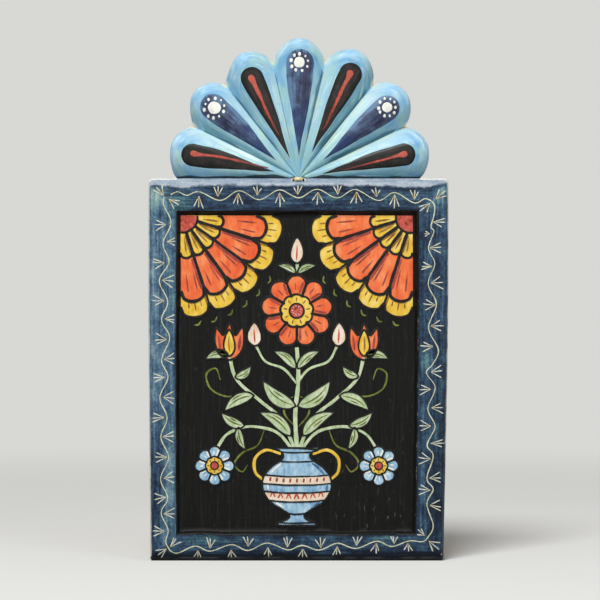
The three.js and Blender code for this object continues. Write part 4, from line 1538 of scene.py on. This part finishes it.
comma_heads = [Vector(seen_at(*comma[1][:2])) for comma in RED_COMMAS]
comma_red = brushed("vermilion_run_dry", RED_STOPS, (1.6, 2, 1.6), 4, load=("#b95f50", "#5d3127"))
commas = [comma_stroke(comma) for comma in RED_COMMAS]
comma_piece = brush_strokes("red_commas", commas, crest_paint_front, comma_red, "paint_red", 0.12)


def dryness(x, y, z):
    """0 at a comma's head and 1 at the end of its tail."""
    away = min((Vector((x, z)) - head).length for head in comma_heads)
    return ramp_between(away, 3, 46)


give_attributes(comma_piece, dry=dryness)

# White rosettes on the navy drops: the middle, its radius, the ring's radius, how many dots, and where they
# start
ROSETTES = (
    ((214.2, 107.6), 6.4, 10.0, 10, 84),
    ((299.5, 62.1), 5.4, 8.5, 9, 88),
    ((387.1, 107.2), 5.1, 8.7, 10, 72),
)
DOT_RADIUS = 1.45


def white_dots():
    """Blobs of thick white paint, flattened domes."""
    bm = bmesh.new()
    for n, (middle, radius, ring, count, start) in enumerate(ROSETTES):
        places = [(*middle, radius, 4)]
        for k in range(count):
            angle = math.radians(start + 360 * k / count + 9 * sway(k * 17, n + 3.4, 5))
            away = ring * (1 + 0.1 * sway(k * 11, n + 6.4, 5))
            size = DOT_RADIUS * (1 + 0.7 * sway(k * 23, n + 9.4, 5))
            places.append((middle[0] + away * math.cos(angle), middle[1] - away * math.sin(angle), size, 2))
        for x, y, size, fineness in places:
            x, z = seen_at(x, y)
            made = bmesh.ops.create_icosphere(bm, subdivisions=fineness, radius=1)["verts"]
            for v in made:
                angle = math.atan2(v.co.z, v.co.x)
                round_it = Vector((math.cos(angle) * 1.3, math.sin(angle) * 1.3, x))
                wide = size * PIXEL * (1 + 0.1 * noise.noise(round_it))
                tall = 1.12 if fineness == 2 else 1.0
                px, pz = x + v.co.x * wide / tall, z + v.co.z * wide * tall
                v.co = (px, crest_paint_front(px, pz) + v.co.y * min(0.16, 0.2 * size * PIXEL), pz)
    white = brushed("lead_white_blobs", WHITE_STOPS, (1.5, 1.5, 1.5), 3)
    finish_piece("white_dots", bm, [white], "paint_white")


white_dots()

# The picture field: a generic folk design of shells, an urn and a spray of flowers on the black ground.
# Places are in millimetres, across from the field's middle and up from the board's foot.
FIELD_MIDDLE = -0.9
LAYER = 0.07
OUTLINE_LEVEL = 6
picture_patches = {}
picture_lines = {}


def patch(colour, level, outline):
    """Adds a patch of one colour. Higher levels lie over lower ones."""
    picture_patches.setdefault(colour, []).append((level, outline))


def line(colour, level, points, width, taper=0.0):
    """Adds a brush line through some points. taper thins its ends."""
    path = smooth_path(points, 6)
    last = len(path) - 1
    made = []
    for i, p in enumerate(path):
        end = min(i, last - i) / last * 2
        pressed = 1 + 0.3 * sway(p.x * 1.3 + p.y * 1.7, level + 0.37, 6)
        half = width / 2 * mix(1, ramp_between(end, -0.15, 0.7), taper) * pressed
        made.append((p.x, p.y, max(half, 0.12)))
    picture_lines.setdefault((colour, level), []).append(made)


def ring_line(outline, width):
    """A black brush line round an outline."""
    line("black", OUTLINE_LEVEL, [*outline, outline[0]], width)


def rounded_outline(points):
    return [(p.x, p.y) for p in smooth_path(points, 4, closed=True)]


def both_sides(draw):
    """Draws something on the right of the field's middle, and the same mirrored on the left."""
    for side in (1, -1):
        draw(lambda x, z: (FIELD_MIDDLE + side * x, z))


SHELL_CORNER = (62.2, 185.1)
SHELL_PETALS = 5
SCALLOP_STEPS = 9


def shell(at):
    """A quarter shell in a top corner of the field, with ribs that open out from the corner."""

    def polar(radius, turn):
        angle = math.radians(turn)
        return at(SHELL_CORNER[0] - radius * math.cos(angle), SHELL_CORNER[1] - radius * math.sin(angle))

    def scalloped(reach, bulge, petals=SHELL_PETALS):
        outline = []
        for i in range(petals * SCALLOP_STEPS + 1):
            t = i / SCALLOP_STEPS % 1
            swell = math.sqrt(1 - (2 * t - 1) ** 2)
            outline.append(polar(reach - bulge + bulge * swell, 90 / petals * i / SCALLOP_STEPS))
        return outline

    corner = polar(0, 0)
    outer, middle, inner = scalloped(55, 6), scalloped(46.5, 6), scalloped(23, 3)
    heart = scalloped(9.5, 0.5, 1)
    layers = (("yellow", outer), ("orange", middle), ("yellow", inner), ("red", heart))
    for level, (colour, outline) in enumerate(layers):
        patch(colour, level + 1, [corner, *outline])
    petal = 90 / SHELL_PETALS
    for k in range(SHELL_PETALS):
        for turn, start in ((0.3, 30), (0.7, 32)):
            reaches = (start, start + 4, start + 8, 41)
            line("shade", 4, [polar(r, petal * (k + turn)) for r in reaches], 0.9, 1.0)
        line("brown", 5, [polar(r, petal * (k + 0.5)) for r in (12, 15, 18, 20.5)], 1.0, 1.0)
        for turn, reach in ((0.28, 50), (0.5, 52), (0.72, 50)):
            line("brown", 2, [polar(r, petal * (k + turn)) for r in (47, 49, reach)], 0.9, 0.7)
    for k in range(1, SHELL_PETALS):
        line("black", OUTLINE_LEVEL, [polar(r, petal * k) for r in (9.5, 16, 23, 32, 42)], 1.9)
        # A mauve brown shade lies beside each rib
        line("shade", 4, [polar(r, petal * k + 78 / r) for r in (24, 29, 34, 38, 41)], 1.9, 0.35)
        line("brown", 4, [polar(r, petal * k + 66 / r) for r in (11, 15, 19, 21)], 1.2, 0.35)
        line("brown", 2, [polar(r, petal * k + 60 / r) for r in (43, 47, 51)], 1.3, 0.5)
        line("black", OUTLINE_LEVEL, [polar(r, petal * k) for r in (42, 46, 51)], 1.3)
    for outline, width in ((middle, 1.9), (inner, 1.5), (heart, 1.3), (outer, 1.3)):
        line("black", OUTLINE_LEVEL, outline, width)
    # A string of olive drops outside the shell's lower half
    for k in range(4, 2 * SHELL_PETALS):
        turn = petal / 2 * k
        line("olive", 1, [polar(57.6, turn - 1.8), polar(59.4, turn), polar(59.2, turn + 2)], 1.1, 0.6)


both_sides(shell)


def leaf(root, tip, bow, half):
    """A leaf along a bowed midrib, with its outline, its vein and a darker brush mark beside it."""
    root, tip = Vector(root), Vector(tip)
    run = tip - root
    aside = Vector((-run.y, run.x)).normalized()
    rib = [root + run * t + aside * bow * math.sin(math.pi * t) for t in [k / 12 for k in range(13)]]
    left, right, shade = [], [], []
    for k, p in enumerate(rib):
        ahead = (rib[min(k + 1, 12)] - rib[max(k - 1, 0)]).normalized()
        normal = Vector((-ahead.y, ahead.x))
        wide = half * math.sin(math.pi * (k / 12) ** 0.8) ** 0.85 + 0.12
        left.append(p + normal * wide)
        right.append(p - normal * wide)
        shade.append(p - normal * wide * 0.5)
    outline = [tuple(p) for p in [*left, *reversed(right)]]
    patch("green", 2, outline)
    ring_line(outline, 1.0)
    line("olive", 3, rib[1:11:3], 0.8, 0.7)
    line("olive", 3, shade[4:10:2], 0.8, 1.0)


def scalloped_disc(centre, radius, petals, depth, turn=0.0):
    steps = petals * 10
    outline = []
    for i in range(steps):
        angle = 2 * math.pi * i / steps
        r = radius * (1 - depth + depth * abs(math.sin(petals * angle / 2)) ** 0.7)
        outline.append((centre[0] + r * math.cos(angle + turn), centre[1] + r * math.sin(angle + turn)))
    return outline


def blossom(centre, radius, petals, colours, outline_width):
    """A round flower: petals with shade between them, an inner ring, and a dotted eye."""
    petal_colour, shade, ring_colour, mark, eye_colour = colours
    turn = math.pi / 2 - math.pi / petals
    outer = scalloped_disc(centre, radius, petals, 0.2, turn)
    inner = scalloped_disc(centre, radius * 0.46, petals, 0.1, turn)
    eye = scalloped_disc(centre, radius * 0.2, 12, 0.02)
    patch(petal_colour, 2, outer)
    patch(ring_colour, 3, inner)
    patch(eye_colour, 4, eye)

    def polar(r, angle):
        return centre[0] + radius * r * math.cos(angle), centre[1] + radius * r * math.sin(angle)

    step = 2 * math.pi / petals
    for k in range(petals):
        edge = step * k + turn
        line("black", OUTLINE_LEVEL, [polar(r, edge) for r in (0.44, 0.6, 0.79)], outline_width)
        line(shade, 3, [polar(r, edge + 0.09 / r) for r in (0.5, 0.6, 0.72, 0.82)], outline_width, 0.4)
        line(shade, 3, [polar(r, edge + step * 0.56) for r in (0.56, 0.66, 0.78)], 0.8, 1.0)
        line(mark, 4, [polar(r, edge + step / 2) for r in (0.25, 0.32, 0.38)], 0.8, 0.8)
    for outline, width in ((outer, outline_width), (inner, outline_width * 0.8), (eye, outline_width * 0.7)):
        ring_line(outline, width)


# The urn: half its width and the height, from its foot up to its mouth
URN_PROFILE = (
    (10.2, 18.6),
    (9.8, 20.6),
    (5.2, 22.4),
    (4.2, 24.8),
    (8.2, 27.6),
    (14.6, 31.8),
    (18.4, 38.2),
    (18.0, 44.8),
    (13.8, 50.4),
    (8.4, 54.2),
    (7.4, 57.2),
    (11.2, 60.6),
)
URN_HANDLE = ((8.6, 57.4), (16.6, 59.4), (22.2, 55), (22.2, 47.8), (18.4, 43.6))
urn_side = smooth_path(URN_PROFILE, 5)


def urn_half(z):
    below = max((p for p in urn_side if p.y <= z), key=lambda p: p.y)
    above = min((p for p in urn_side if p.y >= z), key=lambda p: p.y)
    return mix(below.x, above.x, clamp((z - below.y) / max(above.y - below.y, 0.001)))


def urn():
    outline = [(FIELD_MIDDLE + p.x, p.y) for p in urn_side]
    outline += [(FIELD_MIDDLE - p.x, p.y) for p in reversed(urn_side)]
    patch("pale_blue", 2, outline)

    def across(z, inset, sag):
        half = urn_half(z) - inset
        return [(FIELD_MIDDLE + half * t, z - sag * (1 - t * t)) for t in (-1, -0.6, -0.2, 0.2, 0.6, 1)]

    for low, high in ((32.4, 37.2), (41.4, 46)):
        patch("cream", 3, [*across(low, 0.3, 0.9), *reversed(across(high, 0.3, 0.9))])
        for z in (low, high):
            line("black", OUTLINE_LEVEL, across(z, 0.4, 0.9), 0.95)
    for k in range(-3, 4):
        x = FIELD_MIDDLE + k * 4.3
        low = 33.2 + 0.12 * k * k
        line("red", 4, [(x - 1.3, low), (x, low + 2.4), (x + 1.3, low)], 1.0, 0.4)
    for k in range(-4, 5):
        x = FIELD_MIDDLE + k * 3.6
        line("shade", 4, [(x, 41.9 + 0.05 * k * k), (x + 0.3, 44 + 0.05 * k * k)], 1.2, 0.3)
    for z in (20.6, 25.4, 53.4, 58.4):
        line("black", OUTLINE_LEVEL, across(z, 0.3, 0.5), 0.95)
    # A shade down its right side and a light on its left shoulder
    for low, high in ((28.6, 31.8), (37.8, 41), (46.6, 52.6)):
        heights = [mix(low, high, t) for t in (0, 0.33, 0.67, 1)]
        line("navy", 3, [(FIELD_MIDDLE + urn_half(z) - 2.4, z - 0.4) for z in heights], 1.7, 0.6)
        line("white", 3, [(FIELD_MIDDLE - urn_half(z) + 3, z) for z in heights], 1.1, 0.8)
    ring_line(outline[::2], 1.3)


def urn_handle(at):
    handle = [at(*p) for p in URN_HANDLE]
    line("black", 1, handle, 3.2)
    line("yellow", 4, handle, 1.7)


both_sides(urn_handle)
urn()

# The spray: the stems, with the width of each, then leaves, buds and flowers
line("green", 1, [(FIELD_MIDDLE + x, z) for x, z in ((0, 60), (-0.8, 78), (0.9, 98), (0, 114.4))], 2.4)
SIDE_STEMS = (
    ("green", 1.9, ((1.2, 60), (8.5, 76), (20, 86), (32, 97), (36, 109))),
    ("green", 1.7, ((2.6, 60), (11, 69), (25, 72), (37, 68), (43, 60))),
    ("green", 1.5, ((0, 95), (7, 103), (17, 107), (22, 115.4))),
    ("olive", 1.1, ((26, 91), (37, 88), (46, 92), (48.4, 100), (43.4, 103), (41, 97))),
    ("olive", 1.1, ((17, 71), (21, 62), (29, 58), (33.4, 52), (29.4, 47.6), (26.2, 51.4))),
    ("olive", 1.1, ((1, 72), (6.6, 79), (5.8, 86), (1.8, 88))),
)
# Leaves: the root, the tip, the bow and half the width
SIDE_LEAVES = (
    ((3.4, 67), (20, 79.5), 2.2, 3.4),
    ((0.6, 83), (18, 96.5), -2.6, 3.9),
    ((0.6, 103), (12.4, 112.4), 1.6, 2.5),
    ((23, 88.6), (38.6, 80.6), 2.0, 3.1),
    ((33, 98.6), (24.6, 104.4), 1.4, 2.3),
    ((28, 72.4), (40.6, 79.4), -1.6, 2.6),
    ((31, 71.4), (27.4, 59.6), 1.4, 2.2),
    ((36.8, 110), (49, 108.4), 1.6, 2.4),
)
TULIP_LEFT = ((0, -4), (-5.8, 0), (-7.8, 7), (-6.8, 14), (-3, 9.6))
TULIP = (*TULIP_LEFT, (0.2, 16), (3.4, 9.6), (7.2, 13.6), (8, 6.6), (5.8, 0))
TULIP_FLAME = ((0.1, -2), (-2.7, 2), (-2.3, 7.4), (0.2, 12.4), (2.6, 7.4), (2.9, 2))
BUD = ((0, -3.4), (-3.4, -0.2), (-2.8, 5), (0.4, 9.4), (3.6, 4.8), (3.8, -0.2))


def spray_half(at):
    for colour, width, points in SIDE_STEMS:
        line(colour, 1, [at(*p) for p in points], width, 0.6 if colour == "olive" else 0.0)
    for root, tip, bow, half in SIDE_LEAVES:
        bow *= 1 if at(1, 0)[0] > at(0, 0)[0] else -1
        leaf(at(*root), at(*tip), bow, half)
    cup = rounded_outline([at(36 + x, 111.5 + z) for x, z in TULIP])
    flame = rounded_outline([at(36 + x, 111.5 + z) for x, z in TULIP_FLAME])
    patch("orange", 2, cup)
    patch("yellow", 3, flame)
    ring_line(cup[::2], 1.3)
    ring_line(flame[::2], 1.1)
    line("brown", 4, [at(36.1, 112), at(36.4, 116), at(36.2, 120.5)], 0.9, 0.8)
    for x in (-5.3, 5.3):
        line("shade", 3, [at(36 + x * 0.9, 112.5), at(36 + x, 116.5), at(36 + x * 1.12, 121)], 1.4, 0.8)
    bud = rounded_outline([at(22.4 + x, 118.4 + z) for x, z in BUD])
    patch("cream", 2, bud)
    ring_line(bud[::2], 1.1)
    line("red", 3, [at(22.4, 116.8), at(22.6, 120.4), at(22.8, 124.4)], 1.1, 0.8)
    blossom(at(44, 51), 10.6, 8, ("pale_blue", "white", "yellow", "brown", "red"), 1.1)


both_sides(spray_half)
FLOWER = (FIELD_MIDDLE, 134)
FLOWER_PETALS = 9
blossom(FLOWER, 19.4, FLOWER_PETALS, ("orange", "shade", "yellow", "brown", "red"), 1.6)
for k in range(FLOWER_PETALS):
    angle = 2 * math.pi * (k + 0.5) / FLOWER_PETALS
    dot = Vector(FLOWER) + 2.3 * Vector((math.cos(angle), math.sin(angle)))
    line("white", OUTLINE_LEVEL, [(dot.x, dot.y), (dot.x + 0.1, dot.y + 0.3)], 0.8)

# Above the flower, a cream bud between two small leaves
line("green", 1, [(FIELD_MIDDLE, 153.8), (FIELD_MIDDLE + 0.3, 157), (FIELD_MIDDLE, 161)], 1.8)
top_bud = rounded_outline([(FIELD_MIDDLE + 0.9 * x, 163 + 1.1 * z) for x, z in BUD])
patch("cream", 2, top_bud)
ring_line(top_bud[::2], 1.1)
line("red", 3, [(FIELD_MIDDLE, 161), (FIELD_MIDDLE + 0.2, 165), (FIELD_MIDDLE + 0.3, 169.6)], 1.1, 0.8)
leaf((FIELD_MIDDLE + 0.6, 154), (FIELD_MIDDLE + 10.6, 158.4), 1.4, 1.9)
leaf((FIELD_MIDDLE - 0.6, 154), (FIELD_MIDDLE - 10.6, 158.4), -1.4, 1.9)

PICTURE_PAINTS = {
    "black": (black_paint, "paint_black"),
    "navy": (brushed("slate_blue_wash", NAVY_WASH_STOPS, (2, 3, 5), 8), "paint_navy"),
    "orange": (brushed("orange_red_tempera", ORANGE_STOPS, (2.4, 3, 8), 10, cloudy=0.55), "paint_orange"),
    "shade": (brushed("mauve_brown_tempera", SHADE_STOPS, (2, 3, 4), 8), "paint_red"),
    "yellow": (brushed("yellow_ochre_tempera", YELLOW_STOPS, (2.2, 3, 5), 9, cloudy=0.5), "paint_yellow"),
    "brown": (brushed("raw_sienna_tempera", BROWN_STOPS, (2, 3, 3), 6), "paint_yellow"),
    "green": (brushed("pale_green_tempera", GREEN_STOPS, (1.6, 3, 4), 8), "paint_green"),
    "olive": (brushed("olive_green_tempera", OLIVE_STOPS, (2, 3, 3), 6), "paint_green"),
    "pale_blue": (brushed("pale_blue_tempera", PALE_BLUE_STOPS, (1.8, 3, 4), 8), "paint_pale_blue"),
    "cream": (brushed("warm_cream_tempera", WARM_CREAM_STOPS, (1.8, 3, 4), 8), "line_cream"),
    "red": (red_paint, "paint_red"),
    "white": (brushed("white_tempera", WHITE_STOPS, (1.8, 3, 4), 8), "paint_white"),
}


PATCH_FOOT = 0.06  # how far a patch's edge goes down into the field
LINE_SINK = 0.3  # how much of a layer a line sinks into its patch
LINE_FLATNESS = 0.16


def paint_patch(bm, outline, level):
    """One flat patch of paint, whose edge goes down into the field."""
    outline = [hand(x, z) for x, z in outline]
    face = bm.faces.new([bm.verts.new((x, FIELD_FLOOR + PATCH_FOOT, z)) for x, z in outline])
    lifted = bmesh.ops.extrude_face_region(bm, geom=[face])["geom"]
    for v in lifted:
        if isinstance(v, bmesh.types.BMVert):
            v.co.y = FIELD_FLOOR - LAYER * level


def picture_front(level):
    return lambda x, z: FIELD_FLOOR - LAYER * level


for colour, (material, slot) in PICTURE_PAINTS.items():
    bm = bmesh.new()
    for level, outline in picture_patches.get(colour, ()):
        paint_patch(bm, outline, level)
    bmesh.ops.recalc_face_normals(bm, faces=bm.faces)
    for (line_colour, level), strokes in sorted(picture_lines.items()):
        if line_colour == colour:
            strokes_mesh(bm, strokes, picture_front(level - LINE_SINK), LINE_FLATNESS)
    finish_piece(f"picture_{colour}", bm, [material], slot)


# Studio: a wide pale floor that fades into the same pale background, and soft lamps
BACKGROUND = "#d8d8d5"
CARD = "#cfcfcc"


def before_backdrop(tree):
    """1 for a ray that shows what stands behind things: the camera's own, or one off metal or through
    glass."""
    rays = [add(tree, "LightPath", out=f"Is {kind} Ray") for kind in ("Camera", "Glossy", "Transmission")]
    seen = add(tree, "Math", {"Value": rays[0], "Value_001": rays[1]}, operation="MAXIMUM")
    return add(tree, "Math", {"Value": seen, "Value_001": rays[2]}, operation="MAXIMUM")


def studio_floor():
    """Matt pale card, modelled in metres. Farther out it passes into the background's own colour, so no
    horizon shows."""
    material, tree = new_material("pale_card_floor")
    place = add(tree, "TexCoord", out="Object")
    away = add(tree, "VectorMath", {"Vector": place}, operation="LENGTH", out="Value")
    far = add(tree, "MapRange", {"Value": away, "From Min": 0.35, "From Max": 1.3})
    far = add(tree, "Math", {"Value": far, "Value_001": before_backdrop(tree)}, operation="MULTIPLY")
    card = add(tree, "BsdfDiffuse", {"Color": paint(CARD), "Roughness": 1.0})
    glow = add(tree, "Emission", {"Color": paint(BACKGROUND), "Strength": 1.0})
    blend = add(tree, "MixShader", {"Fac": far, "Shader": card, "Shader_001": glow})
    add(tree, "OutputMaterial", {"Surface": blend})
    bm = bmesh.new()
    bmesh.ops.create_circle(bm, cap_ends=True, segments=96, radius=40)
    floor = new_object("floor", mesh_of("floor", bm, 1))
    floor.data.materials.append(material)


studio_floor()

AMBIENT_STRENGTH = 0.3
world = bpy.data.worlds.new("studio")
world.use_nodes = True
world.node_tree.nodes.clear()
tree = world.node_tree
ambient = add(tree, "Background", {"Color": paint("#ffffff"), "Strength": AMBIENT_STRENGTH})
backdrop = add(tree, "Background", {"Color": paint(BACKGROUND), "Strength": 1.0})
shown = add(tree, "MixShader", {"Fac": before_backdrop(tree), "Shader": ambient, "Shader_001": backdrop})
add(tree, "OutputWorld", {"Surface": shown})
bpy.context.scene.world = world


OBJECT_MIDDLE = Vector((0, 0, 0.15))  # in metres, as the lamps' places are


def soft_lamp(name, place, size, power):
    """A square softbox that faces the middle of the object."""
    data = bpy.data.lights.new(name, "AREA")
    data.size = size
    data.energy = power
    lamp = new_object(name, data)
    lamp.location = place
    lamp.rotation_euler = (Vector(place) - OBJECT_MIDDLE).to_track_quat("Z", "Y").to_euler()


soft_lamp("key_softbox", (-0.4, -1.5, 1.95), 0.9, 50)
soft_lamp("fill_softbox", (1.1, -1.7, 0.5), 1.0, 4)

bpy.context.scene.view_settings.view_transform = "Standard"
